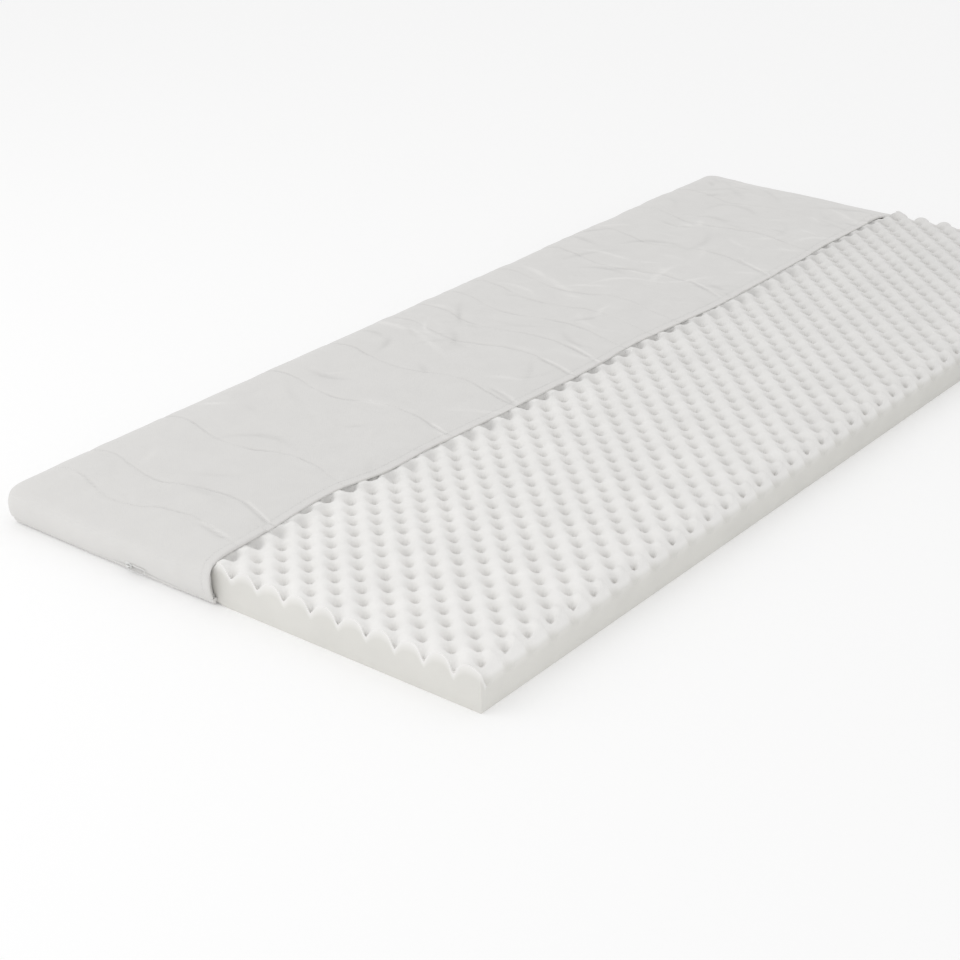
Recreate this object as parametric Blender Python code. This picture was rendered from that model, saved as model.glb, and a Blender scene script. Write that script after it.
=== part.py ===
"""Mattress topper for a single bed, cut away to show its inside.

An egg-crate foam slab lies bare along its right half. A quilted cover, cut open lengthwise, hugs the left half:
it lies on the foam's peaks and turns down over the long left side and both ends. Along the bottom of the near
end a zip joins it to the base panel under the foam.

Metres, +Z up. X runs across the bed, with the bare long side at +X. Y runs along it, with the zip's end at -Y.
The origin is the middle of the underside of the box around the whole object.

A place on the topper is given by two distances: `along`, from the foam's near end, and `across`, from the
foam's bare long side. `place` turns them into X, Y and Z. An `inset` is a distance inside the foam's end or
covered side; a negative one is outside it.
"""
import math

import bmesh
import bpy
import numpy as np

# The foam slab
FOAM_LENGTH = 2.000
FOAM_WIDTH = 0.900
FOAM_HEIGHT = 0.070
PIT_PITCH = 0.050  # from one pit to the next in its row; the rows between are shifted by half of it
PIT_DEPTH = 0.030
PIT_POWER = 2  # the higher, the narrower the pits and the broader the ridges
FIRST_PIT = 0.0437  # across, of the first of the pits that the near end cuts through
BARE_RIM_WIDTH = 0.014  # the rounding along the top of the bare long side
BARE_RIM_FOOT = 0.045  # the height at which that rounding starts
BARE_RIM_COLUMNS = (0.0, 0.003, 0.009)
FOAM_CORNER = 0.030  # plan radius of the two covered corners
FOAM_FOOT_TUCK = 0.005  # how far the covered long side leans in at its foot
UNDERSIDE_STEP = 0.0029  # the foam's underside over the base panel
UNDERSIDE_RAMP = 0.015  # width of the slope between the two levels of the underside
UNDERSIDE_SPAN = 0.25  # spacing of the underside's rows

# The cover
CLOTH_THICKNESS = 0.005
BASE_THICKNESS = 0.0025
CONTACT_GAP = 0.0004  # between the foam's peaks and the cloth on them
EDGE_GAP = 0.0024  # between the foam and the cloth that turns down over its edges
SHARPEST_CORNER = 0.002
SIDE_REACH = 0.47  # the cover stands out from the long side by this share of what it does at the ends
PRESS_MARGIN = 0.008  # the cover presses on the foam from here, outside its cut edge
PRESS_SLOPE = 1.0  # how steeply the foam rises again beyond that

# The cover's outer face at the near end, from the flat top outwards and down to the zip:
# inset, height, plan radius of the corner, across of the cut edge
END_SECTION = (
    (0.1115, 0.0754, 0.004, 0.4756),
    (0.0620, 0.0731, 0.012, 0.4725),
    (0.0330, 0.0666, 0.018, 0.4735),
    (0.0096, 0.0611, 0.022, 0.4760),
    (-0.0075, 0.0567, 0.025, 0.4800),
    (-0.0145, 0.0525, 0.026, 0.4830),
    (-0.0168, 0.0440, 0.026, 0.4840),
    (-0.0166, 0.0338, 0.026, 0.4830),
    (-0.0137, 0.0212, 0.026, 0.4800),
    (-0.0108, 0.0125, 0.026, 0.4780),
)
# The base panel's outer face, from under the foam outwards and up to the zip: inset, height, plan radius
BASE_SECTION = (
    (0.0300, 0.0000, 0.010),
    (-0.0040, 0.0000, 0.022),
    (-0.0074, 0.0030, 0.025),
    (-0.0090, 0.0090, 0.026),
)
# The long cut edge of the cover: along, across
CUT_EDGE = (
    (0.112, 0.4756),
    (0.185, 0.4815),
    (0.287, 0.4870),
    (0.376, 0.4706),
    (0.598, 0.4658),
    (0.790, 0.4586),
    (1.030, 0.4609),
    (1.180, 0.4529),
    (1.315, 0.4449),
    (1.540, 0.4463),
    (1.720, 0.4524),
    (1.888, 0.4520),
)
SEAM_RISE = 0.0030  # away from the zip the panel's rim reaches this much further, up to the cover's edge
BASE_CUT = (0.478, 0.452)  # across, of the base panel's straight cut edge at the near and the far end
HEM_COLUMNS = (0.0, 0.006, 0.016)  # distances from the cut edge, then plain columns
HEM_THINNING = (0.0016, 0.0, 0.0)  # how much thinner the cloth is at each of them
PLAIN_COLUMNS = 9

# The quilting: lines sewn across the bed, all waving alike
QUILT_FIRST = 0.062
QUILT_PITCH = 0.0805
QUILT_LINES = (1, 3, 6, 8, 10, 11, 12, 13, 14, 16, 18, 20, 22)
QUILT_WAVE = 0.014
QUILT_WAVE_LENGTH = 0.265
QUILT_CREST = 0.865
QUILT_DEPTH = 0.0024
QUILT_HALF_WIDTH = 0.012

# The zip at the bottom of the near end
ZIP_FROM = 0.480
ZIP_TO = 0.862
ZIP_HEIGHT = 0.0113
TAPE_HALF_HEIGHT = 0.0055
TAPE_BACK = -0.0039
TAPE_FRONT = -0.0049
COIL_HALF_HEIGHT = 0.0013
COIL_FRONT = -0.0085
SLIDER_LEFT = 0.6535
SLIDER_LENGTH = 0.0110
SLIDER_HALF_HEIGHT = 0.0036
SLIDER_BACK = -0.0121
SLIDER_FRONT = -0.0136
NECK_LENGTH = 0.0090
NECK_BACK = -0.0088
NECK_HALF_HEIGHT = 0.0009
BRIDGE_POST = 0.0014
BRIDGE_RISE = 0.0018
BRIDGE_BAR = 0.0010
BRIDGE_HALF_HEIGHT = 0.0010
PULLER_GAP = 0.00035
PULLER_THICKNESS = 0.0011
PULLER_HALF_HEIGHT = 0.0026
PULLER_RIM = 0.0012
PULLER_RIGHT = 0.6136

# Colours, roughness and metallic value of each piece
LOOKS = {
    "foam_core": ((0.83, 0.82, 0.78), 0.95, 0.0),
    "cover_top": ((0.70, 0.69, 0.67), 0.90, 0.0),
    "cover_base": ((0.66, 0.65, 0.63), 0.90, 0.0),
    "zip_tape": ((0.45, 0.45, 0.44), 0.80, 0.0),
    "zip_slider": ((0.62, 0.62, 0.62), 0.35, 1.0),
    "zip_puller": ((0.66, 0.66, 0.66), 0.35, 1.0),
}

END_REACH = -min(row[0] for row in END_SECTION)
BULGE_LEVEL = [row[0] for row in END_SECTION].index(-END_REACH)
COVER_REACH = SIDE_REACH * END_REACH
TOTAL_WIDTH = FOAM_WIDTH + COVER_REACH
FLAT_INSET = END_SECTION[0][0]
COVER_TOP = END_SECTION[0][1]


def place(along, across, height):
    """The point in the object's own frame."""
    return (TOTAL_WIDTH / 2 - across, along - FOAM_LENGTH / 2, height)


def from_end(end, inset):
    """The `along` of a point that lies `inset` inside the near (-1) or the far (1) end."""
    return inset if end < 0 else FOAM_LENGTH - inset


# Sections of the cloth


def side_inset(inset):
    """An inset at the ends, turned into the one at the covered side, where the cloth stands out less."""
    return inset * SIDE_REACH if inset < 0 else inset


def moved_in(points, distance):
    """The section line (inset, height) moved square to itself: one that falls outwards moves towards the
    foam, and one that climbs outwards does so with a negative distance."""
    moved = []
    for number, (inset, height) in enumerate(points):
        before = points[max(number - 1, 0)]
        after = points[min(number + 1, len(points) - 1)]
        run, fall = before[0] - after[0], before[1] - after[1]
        length = math.hypot(run, fall)
        moved.append((inset + distance * fall / length, height - distance * run / length))
    return moved


def skin(section, depth):
    """The face `depth` inside a section's outer face: its levels at the ends and at the side, and radii."""
    ends = [(row[0], row[1]) for row in section]
    sides = [(side_inset(row[0]), row[1]) for row in section]
    radii = [max(row[2] - depth, SHARPEST_CORNER) for row in section]
    falls = section[0][1] > section[-1][1]
    ends = moved_in(ends, depth if falls else -depth)
    sides = moved_in(sides, depth if falls else -depth)
    lengths = [0.0]
    for one, two in zip(section, section[1:]):
        lengths.append(lengths[-1] + math.dist(one[:2], two[:2]))
    return {"ends": ends, "sides": sides, "radii": radii, "lengths": lengths}


def corner_point(face, row_level, column_level):
    """Insets from end and side, and height, where the end's and the side's levels cross in a round corner."""
    level, other = max(row_level, column_level), min(row_level, column_level)
    on_end = row_level >= column_level
    share = face["lengths"][other] / face["lengths"][level]
    first, second = ("ends", "sides") if on_end else ("sides", "ends")
    own, across_it, radius = face[first][level][0], face[second][level][0], face["radii"][level]
    straight = face[second][0][0] - across_it - radius
    way = share * (straight + radius * math.pi / 4)
    turn = max(way - straight, 0.0) / radius
    near = own + radius * (1 - math.cos(turn))
    far = across_it + radius * (1 - math.sin(turn)) if turn else face[second][0][0] - way
    mix = share / 2
    height = (1 - mix) * face[first][level][1] + mix * face[second][level][1]
    return (near, far, height) if on_end else (far, near, height)


def quilt_wave(across):
    """How far the quilting lines stray along the bed at this place across it."""
    return QUILT_WAVE * math.cos(2 * math.pi * (across - QUILT_CREST) / QUILT_WAVE_LENGTH)


def cut_edge(along):
    """The cover's long cut edge."""
    return float(np.interp(along, [row[0] for row in CUT_EDGE], [row[1] for row in CUT_EDGE]))


def base_cut(along):
    """The base panel's cut edge."""
    return float(np.interp(along, (0.0, FOAM_LENGTH), BASE_CUT))


# Building meshes


def add_solid(name, vertices, faces):
    """Adds one closed solid of its own colour, with its faces pointing out."""
    mesh = bpy.data.meshes.new(name)
    mesh.from_pydata([tuple(vertex) for vertex in vertices], [], faces)
    shape = bmesh.new()
    shape.from_mesh(mesh)
    bmesh.ops.recalc_face_normals(shape, faces=shape.faces)
    shape.to_mesh(mesh)
    shape.free()
    colour, roughness, metallic = LOOKS[name]
    material = bpy.data.materials.new(name)
    material.use_nodes = True
    shader = material.node_tree.nodes["Principled BSDF"]
    shader.inputs["Base Color"].default_value = (*colour, 1.0)
    shader.inputs["Roughness"].default_value = roughness
    shader.inputs["Metallic"].default_value = metallic
    mesh.materials.append(material)
    solid = bpy.data.objects.new(name, mesh)
    bpy.context.scene.collection.objects.link(solid)
    return solid


def grid_faces(rows, columns, first=0):
    """Quads over a grid of points numbered row by row."""
    faces = []
    for row in range(rows - 1):
        for column in range(columns - 1):
            corner = first + row * columns + column
            faces.append((corner, corner + 1, corner + columns + 1, corner + columns))
    return faces


def grid_border(rows, columns):
    """The numbers of the points around a grid, in order."""
    border = [column for column in range(columns)]
    border += [row * columns + columns - 1 for row in range(1, rows)]
    border += [(rows - 1) * columns + column for column in range(columns - 2, -1, -1)]
    border += [row * columns for row in range(rows - 2, 0, -1)]
    return border


def add_cloth(name, outer, inner, rows, columns):
    """A sheet between two like grids of points, closed along its four edges."""
    count = rows * columns
    faces = grid_faces(rows, columns)
    faces += [tuple(reversed(face)) for face in grid_faces(rows, columns, count)]
    border = grid_border(rows, columns)
    for one, two in zip(border, border[1:] + border[:1]):
        faces.append((two, one, one + count, two + count))
    return add_solid(name, outer + inner, faces)


def prism(profile, start, stop):
    """Points and faces of a solid with one (inset, height) outline from `start` to `stop` across the end."""
    count = len(profile)
    points = [place(inset, start, height) for inset, height in profile]
    points += [place(inset, stop, height) for inset, height in profile]
    faces = [tuple(range(count)), tuple(range(2 * count - 1, count - 1, -1))]
    for one in range(count):
        two = (one + 1) % count
        faces.append((two, one, one + count, two + count))
    return points, faces


# The foam


def pressed_height(along, across):
    """The highest that the foam may stand, by the cover that presses on it."""
    nearest_end = min(along, FOAM_LENGTH - along)
    nearest_side = FOAM_WIDTH - across
    gap_end = max(PRESS_CORNER - nearest_end, 0.0)
    gap_side = max(PRESS_CORNER - nearest_side, 0.0)
    if gap_end and gap_side:
        inset = PRESS_CORNER - math.hypot(gap_end, gap_side)
    else:
        inset = min(nearest_end, nearest_side)
    shoulder = COVER_INSIDE["sides"][BULGE_LEVEL::-1]
    insets = [point[0] for point in shoulder]
    heights = [point[1] for point in shoulder]
    slope_share = min(max((FLAT_INSET - inset) / (FLAT_INSET / 2), 0.0), 1.0)
    gap = CONTACT_GAP + (EDGE_GAP - CONTACT_GAP) * slope_share
    beyond = cut_edge(along) - PRESS_MARGIN - across
    return float(np.interp(inset, insets, heights)) - gap + PRESS_SLOPE * max(beyond, 0.0)


def foam_height(along, across):
    """The egg-crate surface, rounded off along the bare side and pressed down under the cover's edges."""
    wave = math.cos(2 * math.pi * along / PIT_PITCH) * math.cos(2 * math.pi * (across - FIRST_PIT) / PIT_PITCH)
    height = FOAM_HEIGHT - PIT_DEPTH * ((1 + wave) / 2) ** PIT_POWER
    if across < BARE_RIM_WIDTH:
        arch = math.sqrt(1 - (1 - across / BARE_RIM_WIDTH) ** 2)
        height = min(height, BARE_RIM_FOOT + (FOAM_HEIGHT - BARE_RIM_FOOT) * arch)
    return min(height, pressed_height(along, across))


def round_foam_corner(along, across):
    """Draws the two covered corners of the foam's square outline in to a round."""
    end = -1 if along < FOAM_LENGTH / 2 else 1
    from_corner = 1 - from_end(end, along) / FOAM_CORNER
    from_side = 1 - (FOAM_WIDTH - across) / FOAM_CORNER
    if from_corner <= 0 or from_side <= 0:
        return along, across
    squeeze = max(from_corner, from_side) / math.hypot(from_corner, from_side)
    inset = FOAM_CORNER * (1 - from_corner * squeeze)
    return from_end(end, inset), FOAM_WIDTH - FOAM_CORNER * (1 - from_side * squeeze)


def foam_top_grid():
    """The places of the top's points: on every peak and pit, and along the rims."""
    alongs = [row * PIT_PITCH / 2 for row in range(round(FOAM_LENGTH / (PIT_PITCH / 2)) + 1)]
    lattice = [FIRST_PIT - PIT_PITCH / 2]
    while lattice[-1] + PIT_PITCH / 2 < FOAM_WIDTH:
        lattice.append(lattice[-1] + PIT_PITCH / 2)
    return alongs, [*BARE_RIM_COLUMNS, *lattice, FOAM_WIDTH]


def ridge_faces(heights, columns):
    """Two triangles per square of the grid, split along the diagonal that joins its higher corners."""
    faces = []
    for a, b, c, d in grid_faces(len(heights) // columns, columns):
        if heights[a] + heights[c] > heights[b] + heights[d]:
            faces += [(a, b, c), (a, c, d)]
        else:
            faces += [(a, b, d), (b, c, d)]
    return faces


def wall_faces(upper, lower):
    """Triangles between two rows of (position, point number) that start and end together."""
    faces = []
    high, low = 0, 0
    while high < len(upper) - 1 or low < len(lower) - 1:
        high_next = upper[high + 1][0] if high < len(upper) - 1 else math.inf
        low_next = lower[low + 1][0] if low < len(lower) - 1 else math.inf
        middle = math.inf
        if low < len(lower) - 1:
            middle = (lower[low][0] + low_next) / 2
        if high_next < math.inf and (low_next == math.inf or high_next <= middle):
            faces.append((upper[high][1], upper[high + 1][1], lower[low][1]))
            high += 1
        else:
            faces.append((upper[high][1], lower[low + 1][1], lower[low][1]))
            low += 1
    return faces


def add_foam():
    """The slab: its egg-crate top, its walls, and an underside that steps up over the base panel."""
    alongs, acrosses = foam_top_grid()
    points, heights = [], []
    for along in alongs:
        for across in acrosses:
            round_along, round_across = round_foam_corner(along, across)
            heights.append(foam_height(round_along, round_across))
            points.append(place(round_along, round_across, heights[-1]))
    faces = ridge_faces(heights, len(acrosses))
    first = len(points)

    half = FOAM_CORNER / 2
    spans = round(FOAM_LENGTH / UNDERSIDE_SPAN)
    under_alongs = sorted({0.0, half, FOAM_CORNER, FOAM_LENGTH, FOAM_LENGTH - half, FOAM_LENGTH - FOAM_CORNER}
                          | {span * UNDERSIDE_SPAN for span in range(1, spans)})
    under_columns = 6
    for along in under_alongs:
        step_top = base_cut(along) - EDGE_GAP
        row = (0.0, step_top - UNDERSIDE_RAMP, step_top, FOAM_WIDTH - FOAM_CORNER, FOAM_WIDTH - half, FOAM_WIDTH)
        for number, across in enumerate(row):
            round_along, round_across = round_foam_corner(along, across)
            round_across -= FOAM_FOOT_TUCK * max(number - 2, 0) / 3
            points.append(place(round_along, round_across, 0.0 if number < 2 else UNDERSIDE_STEP))
    faces += grid_faces(len(under_alongs), under_columns, first)

    top_columns, top_rows, under_rows = len(acrosses), len(alongs), len(under_alongs)
    for end in (0, 1):
        top_start = end * (top_rows - 1) * top_columns
        under_start = first + end * (under_rows - 1) * under_columns
        upper = [(across, top_start + number) for number, across in enumerate(acrosses)]
        step_top = base_cut(under_alongs[-end]) - EDGE_GAP
        lower_acrosses = (0.0, step_top - UNDERSIDE_RAMP, step_top, FOAM_WIDTH - FOAM_CORNER,
                          FOAM_WIDTH - half, FOAM_WIDTH)
        lower = [(across, under_start + number) for number, across in enumerate(lower_acrosses)]
        faces += wall_faces(upper, lower)
    for column, under_column in ((0, 0), (top_columns - 1, under_columns - 1)):
        upper = [(along, number * top_columns + column) for number, along in enumerate(alongs)]
        lower = [(along, first + number * under_columns + under_column)
                 for number, along in enumerate(under_alongs)]
        faces += wall_faces(upper, lower)
    return add_solid("foam_core", points, faces)


# The cover


def cover_rows():
    """The rows of the cover along the bed: (end, level, along, dip below the flat top)."""
    levels = range(len(END_SECTION) - 1, -1, -1)
    rows = [(-1, level, 0.0, 0.0) for level in levels]
    for line in QUILT_LINES:
        middle = QUILT_FIRST + line * QUILT_PITCH
        rows.append((0, 0, middle - QUILT_HALF_WIDTH, 0.0))
        rows.append((0, 0, middle, QUILT_DEPTH))
        rows.append((0, 0, middle + QUILT_HALF_WIDTH, 0.0))
    return rows + [(1, level, 0.0, 0.0) for level in reversed(levels)]


def cover_edge(row):
    """Across, of the cut edge in one row of the cover."""
    end, level, along, _ = row
    if end < 0:
        return END_SECTION[level][3]
    return cut_edge(along) if end == 0 else CUT_EDGE[-1][1]


def cover_point(face, row, column, depth):
    """One point of the cover's outer face (depth 0) or inner face."""
    end, level, along, dip = row
    kind, value = column
    if kind == "side" and end:
        end_inset, from_side, height = corner_point(face, level, value)
        return place(from_end(end, end_inset), FOAM_WIDTH - from_side, height)
    if kind == "side":
        inset, height = face["sides"][value]
        across = FOAM_WIDTH - inset
        return place(along + quilt_wave(across), across, height)
    edge = cover_edge(row)
    if kind == "hem":
        across, thinning = edge + HEM_COLUMNS[value], HEM_THINNING[value]
    else:
        hem = edge + HEM_COLUMNS[-1]
        across, thinning = hem + (FOAM_WIDTH - FLAT_INSET - hem) * value / PLAIN_COLUMNS, 0.0
    if end:
        inset, height = face["ends"][level]
        if depth == 0:
            moved = moved_in(face["ends"], thinning)[level]
            inset, height = moved
        return place(from_end(end, inset), across, height)
    height = COVER_TOP - depth - (0.0 if depth else dip + thinning)
    return place(along + quilt_wave(across), across, height)


def add_cover_top():
    """The quilted sheet from its cut edge to the zip, with its channels and its hem."""
    rows = cover_rows()
    columns = [("hem", number) for number in range(len(HEM_COLUMNS))]
    columns += [("plain", number) for number in range(1, PLAIN_COLUMNS + 1)]
    columns += [("side", level) for level in range(1, len(END_SECTION))]
    outside = skin(END_SECTION, 0.0)
    outer = [cover_point(outside, row, column, 0.0) for row in rows for column in columns]
    inner = [cover_point(COVER_INSIDE, row, column, CLOTH_THICKNESS) for row in rows for column in columns]
    return add_cloth("cover_top", outer, inner, len(rows), len(columns))


def seam_rise(end, level, column):
    """How much higher the base panel's rim is at one point than beside the zip."""
    if max(level, column) < len(BASE_SECTION) - 1:
        return 0.0
    if end > 0 or column > level:
        return SEAM_RISE
    return SEAM_RISE / 2 if column == level else 0.0


def add_cover_base():
    """The thin panel under the covered half, with a rim that stands up to the zip."""
    levels = range(len(BASE_SECTION) - 1, -1, -1)
    rows = [(-1, level) for level in levels] + [(1, level) for level in reversed(levels)]
    columns = [None, *reversed(levels)]
    faces = {}
    for depth in (0.0, BASE_THICKNESS):
        face = skin(BASE_SECTION, depth)
        points = []
        for end, level in rows:
            end_inset, end_height = face["ends"][level]
            along = from_end(end, end_inset)
            for column in columns:
                rise = seam_rise(end, level, column or 0)
                if column is None:
                    points.append(place(along, base_cut(along), end_height + rise))
                elif column == 0 or level == 0:
                    side, side_height = face["sides"][column]
                    height = end_height if column == 0 else side_height
                    points.append(place(along, FOAM_WIDTH - side, height + rise))
                else:
                    inset, from_side, height = corner_point(face, level, column)
                    points.append(place(from_end(end, inset), FOAM_WIDTH - from_side, height + rise))
        faces[depth] = points
    return add_cloth("cover_base", faces[0.0], faces[BASE_THICKNESS], len(rows), len(columns))


# The zip


def around(height, half):
    """The lower and the upper height of something centred on `height`."""
    return height - half, height + half


def add_zip_tape():
    """The zip's tape behind the two lips of cloth, with its closed coil standing in the gap between them."""
    tape_low, tape_high = around(ZIP_HEIGHT, TAPE_HALF_HEIGHT)
    coil_low, coil_high = around(ZIP_HEIGHT, COIL_HALF_HEIGHT)
    profile = (
        (TAPE_BACK, tape_low),
        (TAPE_FRONT, tape_low),
        (TAPE_FRONT, coil_low),
        (COIL_FRONT, coil_low),
        (COIL_FRONT, coil_high),
        (TAPE_FRONT, coil_high),
        (TAPE_FRONT, tape_high),
        (TAPE_BACK, tape_high),
    )
    return add_solid("zip_tape", *prism(profile, ZIP_FROM, ZIP_TO))


def block(start, stop, back, front, half_height):
    """A box on the zip's line: across from start to stop, inset from front to back."""
    low, high = around(ZIP_HEIGHT, half_height)
    return prism(((back, low), (front, low), (front, high), (back, high)), start, stop)


def add_joined(name, blocks, cut=None):
    """One solid made of overlapping blocks, less the block `cut`."""
    solids = []
    for points, faces in blocks + ([cut] if cut else []):
        solids.append(add_solid(name, points, faces))
    body = solids[0]
    for number, tool in enumerate(solids[1:], start=1):
        modifier = body.modifiers.new(f"step_{number}", "BOOLEAN")
        modifier.object = tool
        modifier.operation = "DIFFERENCE" if cut and number == len(blocks) else "UNION"
        modifier.solver = "EXACT"
        tool.hide_render = True
        tool.display_type = "WIRE"
    return body


def add_zip_slider():
    """The slider: a plate over the lips, a neck in the gap and a bridge that holds the puller."""
    right = SLIDER_LEFT - SLIDER_LENGTH
    middle = (SLIDER_LEFT + right) / 2
    plate = block(right, SLIDER_LEFT, SLIDER_BACK, SLIDER_FRONT, SLIDER_HALF_HEIGHT)
    neck_half = NECK_LENGTH / 2
    overlap = (SLIDER_FRONT - SLIDER_BACK) / 2
    neck = block(middle - neck_half, middle + neck_half, NECK_BACK, SLIDER_BACK + overlap, NECK_HALF_HEIGHT)
    bridge_front = SLIDER_FRONT - BRIDGE_RISE - BRIDGE_BAR
    bridge = block(right + BRIDGE_POST / 2, SLIDER_LEFT - BRIDGE_POST / 2, SLIDER_FRONT - overlap,
                   bridge_front, BRIDGE_HALF_HEIGHT)
    opening = block(right + BRIDGE_POST * 1.5, SLIDER_LEFT - BRIDGE_POST * 1.5, SLIDER_FRONT,
                    SLIDER_FRONT - BRIDGE_RISE, 2 * BRIDGE_HALF_HEIGHT)
    return add_joined("zip_slider", [plate, neck, bridge], opening)


def add_zip_puller():
    """The flat puller: a long frame whose end bar passes under the slider's bridge."""
    right = SLIDER_LEFT - SLIDER_LENGTH
    back = SLIDER_FRONT - PULLER_GAP
    front = back - PULLER_THICKNESS
    left = (SLIDER_LEFT + right) / 2 + PULLER_RIM
    plate = block(PULLER_RIGHT, left, back, front, PULLER_HALF_HEIGHT)
    eye = block(right - PULLER_RIM, left - PULLER_RIM, 0.0, 2 * front, PULLER_HALF_HEIGHT - PULLER_RIM)
    return add_joined("zip_puller", [plate], eye)


PRESS_CORNER = 2 * FOAM_CORNER
COVER_INSIDE = skin(END_SECTION, CLOTH_THICKNESS)


def main():
    """Builds every piece in an empty scene."""
    for old in list(bpy.data.objects):
        bpy.data.objects.remove(old)
    add_foam()
    add_cover_top()
    add_cover_base()
    add_zip_tape()
    add_zip_slider()
    add_zip_puller()


main()
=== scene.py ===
"""Looks of a cut-away mattress topper: egg-crate foam, half of it under a quilted cover with a zip.

Every piece is a surface worked out on a grid. A place on the topper is given by `along`, the distance from the
foam's near end, and `across`, the distance from its bare long side; an `inset` is a distance inside the foam's
end or covered side, and is negative outside it. Metres and +Z up throughout.
"""
import math

import bpy
import numpy as np
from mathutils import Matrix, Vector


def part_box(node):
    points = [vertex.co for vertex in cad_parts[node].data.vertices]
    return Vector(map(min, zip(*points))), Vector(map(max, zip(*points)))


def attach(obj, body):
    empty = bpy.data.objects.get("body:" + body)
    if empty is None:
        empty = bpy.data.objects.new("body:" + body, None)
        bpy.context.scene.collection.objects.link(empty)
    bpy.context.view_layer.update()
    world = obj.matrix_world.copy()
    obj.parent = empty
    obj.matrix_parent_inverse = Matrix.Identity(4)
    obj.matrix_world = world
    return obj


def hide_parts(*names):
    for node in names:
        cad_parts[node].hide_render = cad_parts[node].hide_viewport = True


bl_info = {
    "name": "Cut-away mattress topper",
    "version": (1, 0, 0),
    "blender": (4, 5, 0),
    "location": "View3D > Sidebar > Topper",
    "description": "Builds an egg-crate foam topper with a quilted cover, its zip and a plain studio",
    "category": "Add Mesh",
}

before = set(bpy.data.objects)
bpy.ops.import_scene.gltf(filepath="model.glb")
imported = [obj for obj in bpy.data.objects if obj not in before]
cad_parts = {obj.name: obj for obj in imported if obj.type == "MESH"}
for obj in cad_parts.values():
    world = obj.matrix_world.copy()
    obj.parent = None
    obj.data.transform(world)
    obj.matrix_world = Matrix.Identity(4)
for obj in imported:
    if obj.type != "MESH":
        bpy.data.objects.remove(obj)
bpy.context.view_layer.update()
FOAM_LOW, FOAM_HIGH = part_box("foam_core")
BARE_SIDE = FOAM_HIGH[0]
NEAR_END = FOAM_LOW[1]
FOAM_LENGTH = FOAM_HIGH[1] - FOAM_LOW[1]
FOAM_WIDTH = FOAM_HIGH[0] - FOAM_LOW[0]
FOAM_HEIGHT = FOAM_HIGH[2]

# The cover's outer face at the near end, from the flat top outwards and down to the zip:
# inset, height, plan radius of the corner, across of the cut edge, height there
END_SECTION = (
    (0.1115, 0.0754, 0.004, 0.4776, 0.0754),
    (0.0620, 0.0731, 0.012, 0.4757, 0.0748),
    (0.0330, 0.0666, 0.018, 0.4764, 0.0737),
    (0.0096, 0.0611, 0.022, 0.4770, 0.0700),
    (-0.0075, 0.0567, 0.024, 0.4761, 0.0625),
    (-0.0145, 0.0525, 0.024, 0.4746, 0.0535),
    (-0.0168, 0.0440, 0.022, 0.4738, 0.0440),
    (-0.0166, 0.0338, 0.018, 0.4738, 0.0338),
    (-0.0137, 0.0212, 0.013, 0.4744, 0.0212),
    (-0.0108, 0.0125, 0.010, 0.4745, 0.0125),
)
# The same at the covered long side, level by level: inset, height
SIDE_SECTION = (
    (0.1115, 0.0754),
    (0.0620, 0.0752),
    (0.0330, 0.0733),
    (0.0110, 0.0692),
    (-0.0035, 0.0630),
    (-0.0102, 0.0560),
    (-0.0128, 0.0460),
    (-0.0128, 0.0340),
    (-0.0120, 0.0212),
    (-0.0106, 0.0125),
)
# The base panel's outer face, from under the foam outwards and up to the zip, with the same columns
BASE_SECTION = (
    (0.0300, 0.0002, 0.010, 0.4780, 0.0002),
    (0.0060, 0.0002, 0.011, 0.4780, 0.0002),
    (-0.0040, 0.0006, 0.011, 0.4765, 0.0006),
    (-0.0074, 0.0032, 0.011, 0.4752, 0.0032),
    (-0.0090, 0.0090, 0.011, 0.4745, 0.0090),
)
# The cover's long cut edge: along, across
CUT_EDGE = (
    (0.112, 0.4756),
    (0.185, 0.4815),
    (0.287, 0.4870),
    (0.376, 0.4706),
    (0.487, 0.4700),
    (0.598, 0.4658),
    (0.790, 0.4586),
    (0.970, 0.4570),
    (1.030, 0.4609),
    (1.180, 0.4529),
    (1.315, 0.4449),
    (1.540, 0.4463),
    (1.720, 0.4524),
    (1.888, 0.4520),
)
# Creases at the cut edge: along and across of their ends
EDGE_CREASES = (
    (0.072, 0.576, 0.060, 0.513),
    (0.160, 0.569, 0.133, 0.497),
    (0.546, 0.528, 0.537, 0.495),
    (0.729, 0.546, 0.704, 0.475),
    (0.877, 0.550, 0.858, 0.473),
    (0.962, 0.554, 0.930, 0.467),
    (1.367, 0.555, 1.331, 0.470),
    (1.529, 0.549, 1.492, 0.457),
)
# How the zip's line strays from level along the near end: across, rise
ZIP_STRAY = (
    (0.470, 0.0012),
    (0.500, 0.0014),
    (0.570, -0.0018),
    (0.610, 0.0000),
    (0.650, 0.0002),
    (0.730, -0.0014),
    (0.800, 0.0003),
    (0.870, 0.0016),
    (0.910, 0.0020),
)
# The sewn quilting lines that show, counted from the near end: line number, depth share
QUILTING = (
    (0, 0.7),
    (1, 1.0),
    (3, 1.0),
    (6, 0.9),
    (8, 0.9),
    (10, 0.8),
    (11, 0.7),
    (12, 0.9),
    (13, 0.7),
    (14, 0.9),
    (16, 0.8),
    (18, 0.8),
    (20, 0.8),
    (22, 0.8),
)
# Places on the zip: across of the tape's ends and of the slider, heights and insets
ZIP_FROM = 0.4765
ZIP_TO = 0.862
ZIP_HEIGHT = 0.0113
SLIDER_LEFT = 0.6490
SLIDER_LENGTH = 0.0125
SLIDER_RISE = 0.0020
SLIDER_BACK = -0.0121
SLIDER_FRONT = -0.0136
PULLER_RIGHT = 0.6060
BASE_CUT = (0.478, 0.452)
SEAM_RISE = 0.0030
TOOTH_INSET = -0.0085
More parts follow.
